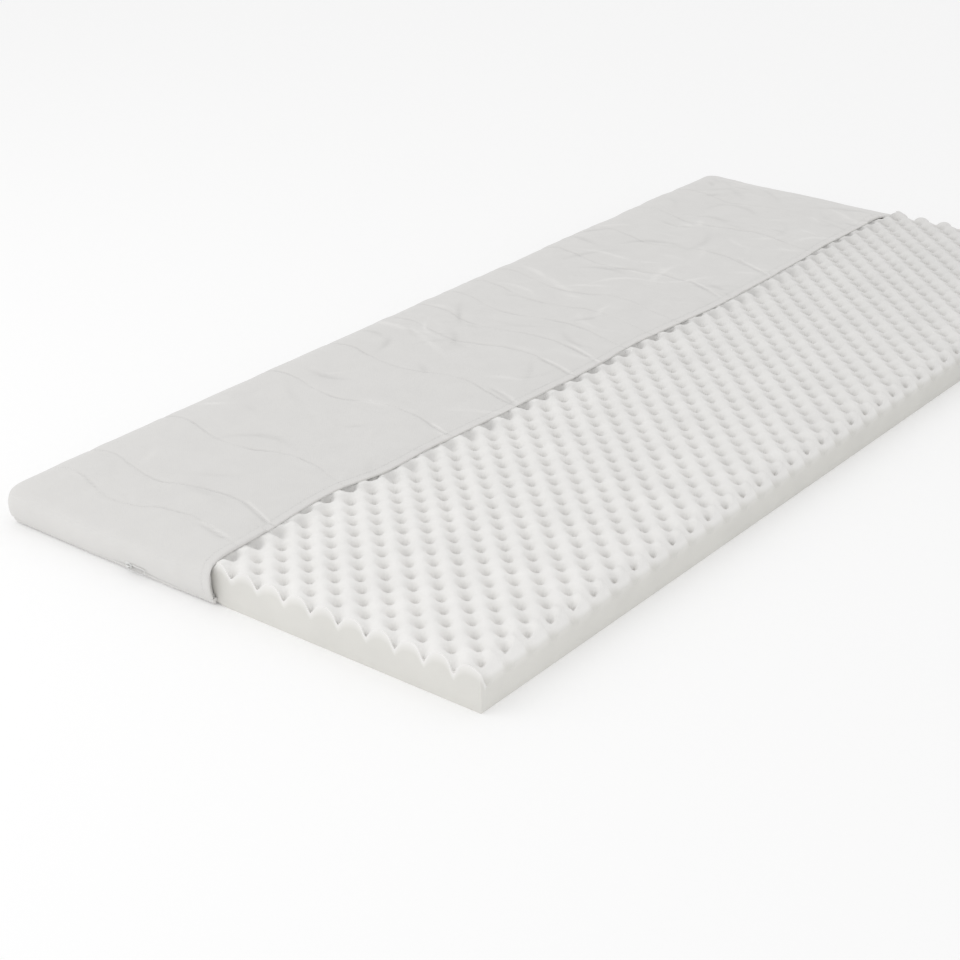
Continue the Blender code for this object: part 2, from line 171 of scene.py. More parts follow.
# The pits' shift along the bed: constant, then times along, across, along * across and along squared
LATTICE_SHIFT = (-0.0018, 0.0098, -0.0078, 0.0322, 0.0094)
# Their shift across it: at the near end, the rise, its growth with the distance across, and the ramp's length
LATTICE_SIDE_SHIFT = (-0.0040, 0.0075, 0.014, 0.35)
# Pits beside the cut edge: how far out they are broad bowls and how far out painted shade darkens them, and a
# bowl's reach along and across
BOWL_REACH = 0.024
PAINTED_SHADE_REACH = 0.019
BOWL_FADE = 0.010
BOWL_ALONG = 0.0160
BOWL_ACROSS = 0.0140
# The foam's round corners under the cover, its gap to the cover, and the step over the base panel
CORNER_RADIUS = 0.030
FOAM_GAP = 0.0004
STEP_HEIGHT = 0.0029
STEP_INSET = 0.0024
STEP_RUN = 0.015
# Distances of the quilted cover's columns from its cut edge, close together at the edge and at the hem
HEM_COLUMNS = (
    0, 0.0003, 0.0008, 0.0015, 0.0024, 0.004, 0.0065, 0.009, 0.0115, 0.013, 0.014, 0.015, 0.0165, 0.020)
# How many of the section's levels down the ends the quilting is sewn
SEWN_LEVELS = 28
# The cut edge down the ends: how the outer face rolls in, where the hem is filled, how its back is bevelled
ROLL_DEPTH, ROLL_WIDTH = 0.0018, 0.005
FILL_WIDTH, FILL_FADE = 0.034, 0.014
BEVEL_SHARE, BEVEL_WIDTH = 0.62, 0.012
# How much lower the foam is pressed under the cover's sloping rim, and over what run
PRESS_DEPTH, PRESS_RUN = 0.0022, 0.055
# Share of a pit's depth that is lost where it is a bowl instead, and how strongly unevenness changes the depth
PIT_LOST_TO_BOWL = 0.72
DEPTH_UNEVENNESS = 25
# Loose wrinkles, at seeded random places
WRINKLES = 150
# Stitches: spacing, half length, radius
QUILT_STITCH = (0.0042, 0.0013, 0.00028)
HEM_STITCH = (0.0060, 0.0014, 0.0004)
# Pitch of the knit in the quilted sheet and in the base panel
COVER_KNIT = 0.0042
BASE_KNIT = 0.0030
# Slider and puller: half heights, and the puller's width of band
SLIDER_HIGH = 0.0058
PULLER_HIGH = 0.0052
PULLER_BAND = 0.0015
# The studio: the floor's half width, the lamp's place, aim and width, the camera from the foam's near bare
# corner and its turn in degrees
FLOOR_REACH = 14.0
LAMP_PLACE = (-1.6, -2.8, 2.1)
LAMP_AIM = (0.0, -0.3, 0.0)
LAMP_WIDTH = 2.6
CAMERA_OFFSET = (1.366, -1.763, 1.418)
CAMERA_TURN = (64.16, 0.0, 37.81)


# Settings


def metres(name, description, default):
    """A distance."""
    return bpy.props.FloatProperty(name=name, description=description, default=default, unit="LENGTH")


def amount(name, description, default, unit="NONE"):
    """A number, with no unit unless one is given."""
    return bpy.props.FloatProperty(name=name, description=description, default=default, unit=unit)


def tint(name, description, default):
    """A colour."""
    return bpy.props.FloatVectorProperty(name=name, description=description, default=default, subtype="COLOR")


class FoamSettings(bpy.types.PropertyGroup):
    """Sizes and colours of the foam slab."""

    pitch: metres("Pit pitch", "From one pit to the next in its row", 0.050)
    top: metres("Top", "Height that the pits sink from", 0.0736)
    depth: metres("Pit depth", "How deep the pits are", 0.0365)
    pit_reach: metres("Pit reach", "How fast a pit fades outwards", 0.0080)
    sharpness: amount("Sharpness", "1 for a pointed pit, 2 for a bell", 1.0)
    lean: amount("Lean", "How much steeper the wall away from the bare side is", 0.25)
    stretch: amount("Stretch", "Of a pit, aslant over the slab", 1.19)
    first_pit: metres("First pit", "Across, of the first pit cut by the near end", 0.0437)
    rim_width: metres("Rim width", "Width of the rounding along the bare side", 0.020)
    rim_foot: metres("Rim foot", "Height at which that rounding starts", 0.045)
    rim_power: amount("Rim power", "1 for a flat slope, more for a rounder one", 1.5)
    rim_blend: metres("Rim blend", "How softly it meets the ridges", 0.012)
    corner_foot: metres("Corner foot", "Height of the rounding's start at the near corner", 0.0605)
    hollow_depth: metres("Hollow depth", "How far the hollows lower that rounding", 0.008)
    hollow_width: metres("Hollow width", "How much wider the rounding is there", 0.024)
    hollow_shift: metres("Hollow shift", "Along, of the first hollow", 0.009)
    bowl_depth: metres("Bowl depth", "Of the broad pits at the cover's cut edge", 0.0085)
    unevenness: metres("Unevenness", "How far the foam's top strays from even", 0.0008)
    colour: tint("Colour", "The moulded top", (0.90, 0.89, 0.873))
    # Darker than the top partly as the cut foam's own yellower tone and partly as painted shade of the side
    # faces.
    cut_colour_and_shade: tint("Cut colour", "The cut side faces", (0.745, 0.735, 0.70))


class CoverSettings(bpy.types.PropertyGroup):
    """Sizes and colours of the cover's two sheets."""

    thickness: metres("Quilt thickness", "Of the quilted sheet", 0.005)
    base_thickness: metres("Base thickness", "Of the base panel", 0.0022)
    edge_thickness: metres("Edge thickness", "Of the quilted sheet at its cut edge", 0.0030)
    edge_drop: metres("Edge drop", "How far the cut edge sinks onto the foam", 0.0028)
    quilt_first: metres("First line", "Along, of the first quilting line", 0.062)
    quilt_pitch: metres("Line pitch", "Between quilting lines", 0.0805)
    quilt_wave: metres("Wave", "How far the lines sway", 0.014)
    quilt_wave_length: metres("Wave length", "Of the sway", 0.265)
    quilt_crest: metres("Wave crest", "Across, of a crest", 0.865)
    quilt_depth: metres("Line depth", "How deep the sewn lines sink", 0.0024)
    hem_width: metres("Hem width", "Of the turned edge", 0.014)
    colour: tint("Colour", "The knitted cloth", (0.728, 0.718, 0.702))
    thread_colour: tint("Thread", "The sewing thread", (0.86, 0.855, 0.84))


class ZipSettings(bpy.types.PropertyGroup):
    """Sizes and colours of the zip."""

    tooth_pitch: metres("Tooth pitch", "Between two teeth", 0.0013)
    tape_colour: tint("Tape", "The woven tape", (0.70, 0.70, 0.69))
    tooth_colour: tint("Teeth", "The coil", (0.74, 0.74, 0.73))
    metal_colour: tint("Metal", "Slider and puller", (0.86, 0.86, 0.85))


class StageSettings(bpy.types.PropertyGroup):
    """The studio."""

    floor_colour: tint("Floor", "The pale floor", (0.95, 0.95, 0.95))
    sky: amount("Fill light", "Strength of the even light", 0.88)
    key: amount("Key light", "Power of the soft light", 17.0, unit="POWER")
    lens: amount("Lens", "Focal length in mm", 76.0)


# Shader building


class Signal:
    """A socket in a material. Arithmetic on it adds Math nodes."""

    def __init__(self, finish, socket):
        self.finish = finish
        self.socket = socket

    def math(self, operation, *values):
        """A Math node of this signal and more values."""
        return self.finish.math(operation, self, *values)

    def __add__(self, other):
        return self.finish.math("ADD", self, other)

    def __radd__(self, other):
        return self.finish.math("ADD", other, self)

    def __sub__(self, other):
        return self.finish.math("SUBTRACT", self, other)

    def __rsub__(self, other):
        return self.finish.math("SUBTRACT", other, self)

    def __mul__(self, other):
        return self.finish.math("MULTIPLY", self, other)

    def __rmul__(self, other):
        return self.finish.math("MULTIPLY", other, self)


class Finish:
    """One material under construction, with its nodes and its Principled shader."""

    def __init__(self, name, roughness, **constants):
        self.material = bpy.data.materials.new(name)
        self.material.use_nodes = True
        self.tree = self.material.node_tree
        self.shader = self.tree.nodes["Principled BSDF"]
        self.shader.inputs["Roughness"].default_value = roughness
        for socket, value in constants.items():
            self.shader.inputs[socket.replace("_", " ")].default_value = value

    def node(self, kind, settings, sockets, output=0):
        """A node of any kind: its settings first, then the values or links of its sockets."""
        made = self.tree.nodes.new(kind)
        for name, value in settings.items():
            setattr(made, name, value)
        for key, value in sockets.items():
            self.put(made.inputs[key], value)
        return Signal(self, made.outputs[output])

    def put(self, socket, value):
        """Links or sets one socket."""
        if isinstance(value, Signal):
            self.tree.links.new(value.socket, socket)
        elif hasattr(socket.default_value, "__len__") and not isinstance(value, (int, float)):
            socket.default_value = (*value, 1.0) if len(socket.default_value) > len(value) else value
        else:
            socket.default_value = value

    def math(self, operation, *values):
        """A Math node."""
        return self.node("ShaderNodeMath", {"operation": operation}, dict(enumerate(values)))

    def mix(self, share, one, two):
        """A colour between two colours."""
        return self.node("ShaderNodeMix", {"data_type": "RGBA"}, {0: share, 6: one, 7: two}, output=2)

    def noise(self, place, scale, detail=2.0, roughness=0.5):
        """Even noise between about 0 and 1 in space."""
        return self.node("ShaderNodeTexNoise", {}, {
            "Vector": place, "Scale": scale, "Detail": detail, "Roughness": roughness})

    def object_place(self):
        """The point on the object, in metres."""
        return self.node("ShaderNodeTexCoord", {}, {}, output="Object")

    def cloth_place(self):
        """The two distances along the cloth, as separate signals in metres."""
        flat = self.node("ShaderNodeUVMap", {"uv_map": "cloth"}, {})
        parts = self.node("ShaderNodeSeparateXYZ", {}, {0: flat})
        return parts, Signal(self, parts.socket.node.outputs[1])

    def attribute(self, name):
        """A number stored on the mesh."""
        return self.node("ShaderNodeAttribute", {"attribute_name": name}, {}, output="Fac")

    def bump(self, height, distance, strength=1.0):
        """Sends a height, from 0 to 1, through a Bump node to the shader's normal."""
        self.put(self.shader.inputs["Normal"], self.node(
            "ShaderNodeBump", {}, {"Height": height, "Distance": distance, "Strength": strength}))

    def colour(self, value):
        """Sets the base colour."""
        self.put(self.shader.inputs["Base Color"], value)

    def two_tone(self, share, colour, darker):
        """Sets the base colour to run from a darker share of a colour to the colour."""
        self.colour(self.mix(share, tuple(darker * part for part in colour), tuple(colour)))

    def shaded(self, colour, shade):
        """Sets the base colour to a colour times a number."""
        grey = self.node("ShaderNodeCombineXYZ", {}, {0: shade, 1: shade, 2: shade})
        self.colour(self.node("ShaderNodeMix", {"data_type": "RGBA", "blend_type": "MULTIPLY"}, {
            0: 1.0, 6: colour, 7: grey}, output=2))


def foam_finish(settings):
    """Open-cell foam: fine cells as bump, faint mottling, a yellower cut face that painted shade also darkens,
    painted shade in the pits and beside the cover's cut edge, and painted shade that darkens it towards the
    far end.
    """
    finish = Finish("foam", 0.95, Sheen_Weight=0.15, Specular_IOR_Level=0.2)
    place = finish.object_place()
    cells = finish.noise(place, 900.0, 3.0, 0.65)
    mottle = finish.noise(place, 14.0, 3.0, 0.55)
    # The top's colour, or on the cut faces the cut colour with its painted shade.
    body = finish.mix(finish.attribute("cut"), tuple(settings.colour), tuple(settings.cut_colour_and_shade))
    # Painted shade: the foam's colour grows darker towards the far end, as the light falls off there.
    far = finish.node("ShaderNodeMapRange", {}, {
        0: finish.node("ShaderNodeSeparateXYZ", {}, {0: place}, output=1), 1: -1.0, 2: 1.0, 3: 0.0, 4: 1.0})
    shade = 0.90 + mottle * 0.12 + cells * 0.06
    # Painted shade: the "deep" attribute darkens the pits and the bowls beside the cover's cut edge.
    shade = shade * (1.0 - finish.attribute("deep") * 0.12) * (1.0 - far * 0.14)
    finish.shaded(body, shade)
    finish.bump(cells * 0.8 + finish.noise(place, 260.0, 2.0) * 0.6, 0.0006, 0.5)
    return finish.material


def knit(finish, pitch):
    """A close knit on the cloth's own distances: small raised loops in staggered rows, 0 to 1."""
    along, across = finish.cloth_place()
    turn = 2 * math.pi / pitch
    loops = (along * turn).math("SINE") * (across * turn).math("SINE")
    ribs = (across * (turn * 3)).math("SINE")
    return 0.5 + loops * 0.38 + ribs * 0.10


def cloth_finish(name, colour, pitch, creases):
    """Soft knitted cloth: staggered loops, faint mottling and, where sewn, painted shade in the creases, with
    painted light and shade on the wrinkles.
    """
    finish = Finish(name, 0.92, Sheen_Weight=0.25, Sheen_Roughness=0.5, Specular_IOR_Level=0.25)
    loops = knit(finish, pitch)
    place = finish.object_place()
    mottle = finish.noise(place, 22.0, 4.0, 0.6)
    fuzz = finish.noise(place, 1400.0, 2.0, 0.6)
    shade = 0.93 + mottle * 0.07 + loops * 0.035 + fuzz * 0.03
    if creases:
        # Painted shade darkens the sewn lines, the hem line and the hem's cut face; painted light and shade
        # lighten the wrinkles' ridges and darken their troughs.
        shade = shade * (1.0 - finish.attribute("crease") * 0.13 + finish.attribute("folds") * 0.09)
    finish.shaded(tuple(colour), shade)
    finish.bump(loops * 0.7 + fuzz * 0.3, 0.0005, 0.6)
    return finish.material


def thread_finish(settings):
    """Sewing thread: pale, with a fine twist."""
    finish = Finish("thread", 0.6, Specular_IOR_Level=0.4)
    twist = finish.noise(finish.object_place(), 2500.0, 1.0)
    finish.two_tone(twist, settings.thread_colour, 0.86)
    finish.bump(twist, 0.0001, 0.5)
    return finish.material


def tape_finish(settings):
    """Woven zip tape: crossing threads 0.5 mm apart."""
    finish = Finish("tape", 0.85, Specular_IOR_Level=0.2)
    along, across = finish.cloth_place()
    turn = 2 * math.pi / 0.0005
    weave = 0.5 + (along * turn).math("SINE") * (across * turn).math("SINE") * 0.5
    finish.two_tone(weave, settings.tape_colour, 0.8)
    finish.bump(weave, 0.0002, 0.5)
    return finish.material


def coil_finish(settings):
    """Moulded coil: smooth plastic, slightly cloudy."""
    finish = Finish("coil", 0.45)
    cloud = finish.noise(finish.object_place(), 300.0)
    finish.two_tone(cloud, settings.tooth_colour, 0.88)
    finish.bump(cloud, 0.0001, 0.2)
    return finish.material


def metal_finish(settings):
    """Tumbled zip metal: silver, with fine wear in its roughness."""
    finish = Finish("metal", 0.35, Metallic=1.0)
    place = finish.object_place()
    wear = finish.noise(place, 700.0, 3.0, 0.6)
    finish.put(finish.shader.inputs["Roughness"], 0.24 + wear * 0.22)
    finish.two_tone(wear, settings.metal_colour, 0.85)
    finish.bump(finish.noise(place, 2200.0), 0.00005, 0.4)
    return finish.material


def floor_finish(settings):
    """A plain pale floor with the faintest grain."""
    finish = Finish("floor", 0.9, Specular_IOR_Level=0.1, Emission_Color=(1.0, 1.0, 1.0, 1.0),
                    Emission_Strength=0.07)
    grain = finish.noise(finish.object_place(), 60.0)
    finish.two_tone(grain, settings.floor_colour, 0.995)
    return finish.material


# Meshes from arrays


def place(along, across, height):
    """Points in the frame, stacked on a last axis of three."""
    return np.stack(np.broadcast_arrays(BARE_SIDE - across, NEAR_END + along, height), axis=-1)


def grid_quads(rows, columns, first=0):
    """Quads of a grid of points that are numbered row by row."""
    corner = (np.arange(rows - 1)[:, None] * columns + np.arange(columns - 1)[None, :]).ravel() + first
    return np.stack((corner, corner + 1, corner + columns + 1, corner + columns), axis=1)


def border_of(rows, columns):
    """The numbers of a grid's outer points, once round."""
    across = np.arange(columns)
    down = np.arange(1, rows)
    return np.concatenate((
        across, down * columns + columns - 1, (rows - 1) * columns + across[-2::-1], down[-2::-1] * columns))


def ribbon(one, two, closed):
    """Quads between two equal rows of point numbers."""
    next_one, next_two = np.roll(one, -1), np.roll(two, -1)
    quads = np.stack((one, two, next_two, next_one), axis=1)
    return quads if closed else quads[:-1]


def add_piece(name, points, faces, material, numbers=None, cloth=None, sharp=None):
    """A mesh object from an array of points and arrays of faces, with its normals turned outwards.

    numbers holds arrays of one number per point, kept as attributes. cloth holds two distances per point,
    kept as the UV map that the weave follows. Edges sharper than the angle `sharp` stay crisp.
    """
    mesh = bpy.data.meshes.new(name)
    loops = np.concatenate([part.ravel() for part in faces])
    totals = np.concatenate([np.full(len(part), part.shape[1]) for part in faces])
    mesh.vertices.add(len(points))
    mesh.vertices.foreach_set("co", points.astype(np.float32).ravel())
    mesh.loops.add(len(loops))
    mesh.loops.foreach_set("vertex_index", loops.astype(np.int32))
    mesh.polygons.add(len(totals))
    mesh.polygons.foreach_set("loop_start", (np.cumsum(totals) - totals).astype(np.int32))
    mesh.update(calc_edges=True)
    for label, values in (numbers or {}).items():
        mesh.attributes.new(label, "FLOAT", "POINT").data.foreach_set("value", values.astype(np.float32))
    if cloth is not None:
        mesh.uv_layers.new(name="cloth").data.foreach_set("uv", cloth[loops].astype(np.float32).ravel())
    mesh.shade_smooth()
    if sharp:
        mesh.set_sharp_from_angle(angle=sharp)
    mesh.materials.append(material)
    piece = bpy.data.objects.new(name, mesh)
    bpy.context.scene.collection.objects.link(piece)
    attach(piece, "root")
    return piece


def soft_noise(one, two, cell, seed):
    """Smooth noise from -1 to 1: random heights on a lattice of `cell`, eased between its points."""
    heights = np.random.default_rng(seed).uniform(-1, 1, (128, 128))
    first, second = one / cell + 40, two / cell + 40
    row, column = np.floor(first).astype(int), np.floor(second).astype(int)
    across, up = first - row, second - column
    across, up = across * across * (3 - 2 * across), up * up * (3 - 2 * up)
    row, column = row % 127, column % 127
    low = heights[row, column] * (1 - across) + heights[row + 1, column] * across
    high = heights[row, column + 1] * (1 - across) + heights[row + 1, column + 1] * across
    return low * (1 - up) + high * up


def smooth_rows(table, count):
    """A table's rows as points on a smooth curve: Hermite pieces whose slopes are the mean slopes at each
    row, resampled to `count` rows at even distances in the first two columns."""
    rows = np.array(table)
    knots = np.concatenate(([0.0], np.cumsum(np.hypot(*np.diff(rows[:, :2], axis=0).T))))
    slopes = np.gradient(rows, knots, axis=0)
    fine = np.linspace(0.0, knots[-1], 40 * len(rows))
    left = np.clip(np.searchsorted(knots, fine, side="right") - 1, 0, len(rows) - 2)
    span = (knots[left + 1] - knots[left])[:, None]
    t = (fine - knots[left])[:, None] / span
    curve = ((1 + 2 * t) * (1 - t) ** 2 * rows[left] + t * (1 - t) ** 2 * span * slopes[left]
             + t * t * (3 - 2 * t) * rows[left + 1] + t * t * (t - 1) * span * slopes[left + 1])
    length = np.concatenate(([0.0], np.cumsum(np.hypot(*np.diff(curve[:, :2], axis=0).T))))
    even = np.linspace(0.0, length[-1], count)
    columns = [np.interp(even, length, curve[:, column]) for column in range(rows.shape[1])]
    return np.stack(columns, axis=1), even


def surface_normals(points):
    """Unit normals of a grid of points, from the cross product of its two directions."""
    normals = np.cross(np.gradient(points, axis=0), np.gradient(points, axis=1))
    return normals / np.linalg.norm(normals, axis=-1, keepdims=True)


# Shapes of the foam and of the cover


def stray(across):
    """How much the zip's line rises or falls here."""
    table = np.array(ZIP_STRAY)
    curve, _ = smooth_rows(ZIP_STRAY, 120)
    return np.interp(np.clip(across, table[0, 0], table[-1, 0]), curve[:, 0], curve[:, 1])


def closed_lips(across):
    """How far each lip reaches over the zip beyond the slider, where the two nearly meet."""
    shut = np.maximum(across - 0.662, 0.560 - across) / 0.016
    return 0.0004 + 0.0011 * np.clip(shut, 0, 1)


def quilt_sway(cover, across):
    """How far the quilting lines stray along the bed: a cosine across it."""
    return cover.quilt_wave * np.cos(2 * np.pi * (across - cover.quilt_crest) / cover.quilt_wave_length)


def quilt_line(cover, across, line):
    """Along, of one sewn line: its place, the common sway and its own unevenness."""
    jitter = 0.0022 * soft_noise(across, across * 0 + 7 * line, 0.031, 12)
    return cover.quilt_first + line * cover.quilt_pitch + quilt_sway(cover, across) + jitter


def cut_line(along):
    """Across, of the cover's cut edge, with its small unevenness."""
    curve, _ = smooth_rows(CUT_EDGE, 400)
    steady = np.interp(along, curve[:, 0], curve[:, 1])
    return steady + 0.0020 + 0.0008 * soft_noise(along, along * 0, 0.045, 5)


def base_cut(along):
    """Across, of the base panel's straight cut edge."""
    return np.interp(along, (0, FOAM_LENGTH), BASE_CUT)


def edge_share(from_edge):
    """How much the cut edge counts at a distance from it: 1 there, fading over 30 mm."""
    return np.exp(-(from_edge / 0.030) ** 2)


def cut_share(from_edge):
    """How much the end section's own heights at the cut edge count at a distance from it."""
    return np.exp(-(from_edge / 0.055) ** 2)


def under_edge(along, across):
    """Distance under the cover from its cut edge, negative on the bare side."""
    section = np.array(END_SECTION[:6])[::-1]
    near = np.interp(along, section[:, 0], section[:, 3])
    return across - np.where(along < section[-1, 0], near, cut_line(along))


def pressed_height(cover, along, across):
    """The foam's height limit under the cover: the inside of the cover's section, less a small gap."""
    section, _ = smooth_rows(END_SECTION, 200)
    inside = section[: int(np.argmin(section[:, 0])), :2]
    insets = np.where(inside[:, 0] < 0, inside[:, 0] * 0.47, inside[:, 0]) + 0.0015
    corner = 0.060
    end = np.minimum(along, FOAM_LENGTH - along)
    side = FOAM_WIDTH - across
    from_corner = corner - np.hypot(np.clip(corner - end, 0, None), np.clip(corner - side, 0, None))
    inset = np.where((end < corner) & (side < corner), from_corner, np.minimum(end, side))
    share = np.clip((END_SECTION[0][0] - inset) / PRESS_RUN, 0, 1)
    under = under_edge(along, across)
    edge = edge_share(np.clip(under, 0, None)) * (inset > END_SECTION[0][0])
    sheet = cover.thickness + (cover.edge_thickness - cover.thickness) * edge + cover.edge_drop * edge
    limit = np.interp(inset, insets[::-1], inside[::-1, 1]) - sheet - FOAM_GAP - PRESS_DEPTH * share
    lift = np.interp(along, insets[::-1], section[len(insets) - 1::-1, 4] - inside[::-1, 1])
    limit += (lift + PRESS_DEPTH * share) * cut_share(np.clip(under, 0, None)) * (along < FOAM_LENGTH / 2)
    return limit + 2.4 * np.clip(-0.0015 - under, 0, None)


def lattice_place(along, across):
    """Where a place lies on the pits' even lattice. Along the bed the shift is a quadratic, fitted to where
    the pits are seen. Across it the shift is given: a start at the near end, then a ramp to a rise that
    grows with the distance across."""
    shift, grow, tilt, twist, bend = LATTICE_SHIFT
    one = along + shift + grow * along + tilt * across + twist * along * across + bend * along ** 2
    start, rise, lean, run = LATTICE_SIDE_SHIFT
    return one, across + start + (rise + lean * across) * np.clip(along / run, 0, 1)


def pit_share(foam, along, across):
    """Share of the pits' depth, 1 at a pit's tip: the sum of exp(-(distance / reach)^sharpness) over a
    staggered lattice, with a longer reach towards the bare side. No pit lies outside that side. The second
    share is of the broad bowls that the same pits are where the cover holds them open."""
    total = np.zeros(np.broadcast(along, across).shape)
    bowls = total.copy()
    along, across = lattice_place(along, across)
    half = foam.pitch / 2
    row = np.floor(along / half)
    column = np.floor((across - foam.first_pit) / half)
    for step_row in range(-1, 3):
        for step_column in range(-1, 3):
            at_row, at_column = row + step_row, column + step_column
            one = along - at_row * half
            two = across - foam.first_pit - at_column * half
            skew = (one + two) / (math.sqrt(2) * foam.stretch)
            cross = (one - two) / math.sqrt(2) * foam.stretch
            far = np.sqrt(skew ** 2 + cross ** 2 + 0.001 ** 2)
            reach = foam.pit_reach * (1 - foam.lean * two / far)
            there = ((at_row + at_column) % 2 == 0) & (foam.first_pit + at_column * half > 0)
            total += np.where(there, np.exp(-(far / reach) ** foam.sharpness), 0)
            bowls += np.where(there, np.exp(-((one / BOWL_ALONG) ** 2 + (two / BOWL_ACROSS) ** 2) ** 2), 0)
    return total, bowls


def foam_height(foam, along, across):
    """Egg-crate surface: the top's height less the depth times the pits' share, plus soft noise. Beside the
    cut edge broad bowls take most of that depth's place, and under it there are no pits. The bare side's rim
    is an arch, foot + (top - foot) * (1 - nearness^power), lower and wider at the hollows between its lobes,
    that blends in by a smooth minimum."""
    uneven = foam.unevenness * (soft_noise(along, across, 0.034, 1) + soft_noise(along, across, 0.16, 2))
    under = under_edge(along, across)
    edge = np.clip((under + BOWL_REACH) / BOWL_FADE, 0, 1)
    open_share = 1 - np.clip((under + 0.0018) / 0.004, 0, 1)
    pit, bowl = pit_share(foam, along, across)
    depth = foam.depth * (1 - PIT_LOST_TO_BOWL * edge) * pit * open_share * (1 + DEPTH_UNEVENNESS * uneven)
    height = foam.top - depth + uneven
    height -= foam.bowl_depth * edge * bowl * open_share
    phase = 2 * np.pi * (lattice_place(along, 0)[0] - foam.hollow_shift) / foam.pitch
    hollow = ((1 + np.cos(phase)) / 2) ** 2.5
    hollow = hollow * (1 + 60 * foam.unevenness * soft_noise(along, across * 0, 0.045, 9))
    near = np.clip(1 - across / (foam.rim_width + foam.hollow_width * hollow), 0, 1)
    foot = foam.rim_foot - foam.hollow_depth * hollow
    foot = foot + (foam.corner_foot - foot) * np.clip(1 - along / 0.010, 0, 1)
    arch = foot + (foam.top - foot) * (1 - near ** foam.rim_power)
    width = foam.rim_blend
    gap = np.clip(0.5 + (arch - height) / (2 * width), 0, 1)
    blended = arch * (1 - gap) + height * gap - width * gap * (1 - gap)
    return np.minimum(np.where(near > 0, blended, height), FOAM_HEIGHT)


def round_corner(along, across, radius):
    """Squeezes the covered corners of the foam's square plan into rounds."""
    end = np.minimum(along, FOAM_LENGTH - along)
    one = 1 - end / radius
    two = 1 - (FOAM_WIDTH - across) / radius
    inside = (one > 0) & (two > 0)
    one, two = np.where(inside, one, 0.5), np.where(inside, two, 0.5)
    squeeze = np.maximum(one, two) / np.hypot(one, two)
    new_end = radius * (1 - one * squeeze)
    moved_along = np.where(along < FOAM_LENGTH / 2, new_end, FOAM_LENGTH - new_end)
    moved_across = FOAM_WIDTH - radius * (1 - two * squeeze)
    return np.where(inside, moved_along, along), np.where(inside, moved_across, across)


def cover_levels(table, side_table, count, depth):
    """A section as arrays: insets and heights at the ends and the side, radii, cut edge and lengths."""
    rows, lengths = smooth_rows(table, count)
    side_rows, _ = smooth_rows(side_table, count)
    levels = {"edge": rows[:, 3], "lift": rows[:, 4] - rows[:, 1], "length": lengths,
              "radius": np.maximum(rows[:, 2] - depth, 0.002)}
    turn = 1.0 if rows[0, 1] > rows[-1, 1] else -1.0
    for name, (line, height) in (("end", rows[:, :2].T), ("side", side_rows[:, :2].T)):
        run, fall = -np.gradient(line), -np.gradient(height)
        size = np.hypot(run, fall)
        levels[name] = line + turn * depth * fall / size
        levels[name + "_height"] = np.maximum(height, 0.0002) - turn * depth * run / size
    return levels


def corner_points(levels, row_level, column_level):
    """Insets and height where a row's and a column's levels cross in the cover's corner.

    Level m's outline is a rounded square: a straight run, then an arc. The other level's share of the
    section's length is the share of the way along that outline, up to the corner's middle.
    """
    level = np.maximum(row_level, column_level)
    other = np.minimum(row_level, column_level)
    on_end = row_level >= column_level
    share = levels["length"][other] / np.maximum(levels["length"][level], 1e-9)
    own = np.where(on_end, levels["end"][level], levels["side"][level])
    facing = np.where(on_end, levels["side"][level], levels["end"][level])
    start = np.where(on_end, levels["side"][0], levels["end"][0])
    radius = levels["radius"][level]
    straight = start - facing - radius
    way = share * (straight + radius * np.pi / 4)
    turn = np.clip(way - straight, 0, None) / radius
    near = own + radius * (1 - np.cos(turn))
    far = np.where(turn > 0, facing + radius * (1 - np.sin(turn)), start - way)
    end_height, side_height = levels["end_height"][level], levels["side_height"][level]
    own_height = np.where(on_end, end_height, side_height)
    other_height = np.where(on_end, side_height, end_height)
    height = own_height * (1 - share / 2) + other_height * share / 2
    return np.where(on_end, near, far), np.where(on_end, far, near), height


def quilt_field(cover, along, across):
    """Depth (0 to 1) and closeness of the nearest sewn line: a narrow valley in a broad one. The closeness is
    painted as shade along the line.
    """
    depth = np.zeros_like(along)
    crease = np.zeros_like(along)
    for line, share in QUILTING:
        off = along - quilt_line(cover, across, line)
        fade = share * np.clip(0.62 + 0.75 * soft_noise(across, across * 0 + line, 0.045, 11), 0.12, 1)
        valley = 0.5 * np.exp(-(off / 0.0026) ** 2) + 0.5 * np.exp(-np.abs(off) / 0.008)
        depth = np.maximum(depth, fade * valley)
        crease = np.maximum(crease, fade * np.exp(-(off / 0.0020) ** 2))
    return depth, crease


def creases(along, across):
    """Loose wrinkles: narrow bent ridges at seeded random places, more and higher far from the near end,
    and a straight one at each place in EDGE_CREASES."""
    draw = np.random.default_rng(21)
    relief = np.zeros_like(along)
    for _ in range(WRINKLES):
        middle_along = 2.0 * draw.uniform() ** 0.75
        middle_across = draw.uniform(0.47, 0.88)
        angle = draw.normal(math.pi / 2, 0.6)
        length = draw.uniform(0.015, 0.055)
        width = draw.uniform(0.0025, 0.0065)
        height = draw.uniform(-0.0015, 0.0014) * min(1.0, 0.35 + middle_along)
        bend = draw.uniform(-7.0, 7.0)
        one = (along - middle_along) * math.cos(angle) + (across - middle_across) * math.sin(angle)
        two = (across - middle_across) * math.cos(angle) - (along - middle_along) * math.sin(angle)
        two = two - bend * one ** 2
        relief += height * np.exp(-(one / length) ** 2 - (two / width) ** 2)
    for along_from, across_from, along_to, across_to in EDGE_CREASES:
        run, rise = along_to - along_from, across_to - across_from
        length = math.hypot(run, rise)
        one = ((along - along_from) * run + (across - across_from) * rise) / length
        two = ((along - along_from) * rise - (across - across_from) * run) / length
        ends = np.clip(one / 0.02, 0, 1) * np.clip((length + 0.012 - one) / 0.012, 0, 1)
        ridge, trough = np.exp(-(two / 0.0028) ** 2), np.exp(-((two - 0.006) / 0.0035) ** 2)
        relief += ends * (0.0014 * ridge - 0.0010 * trough)
    return relief


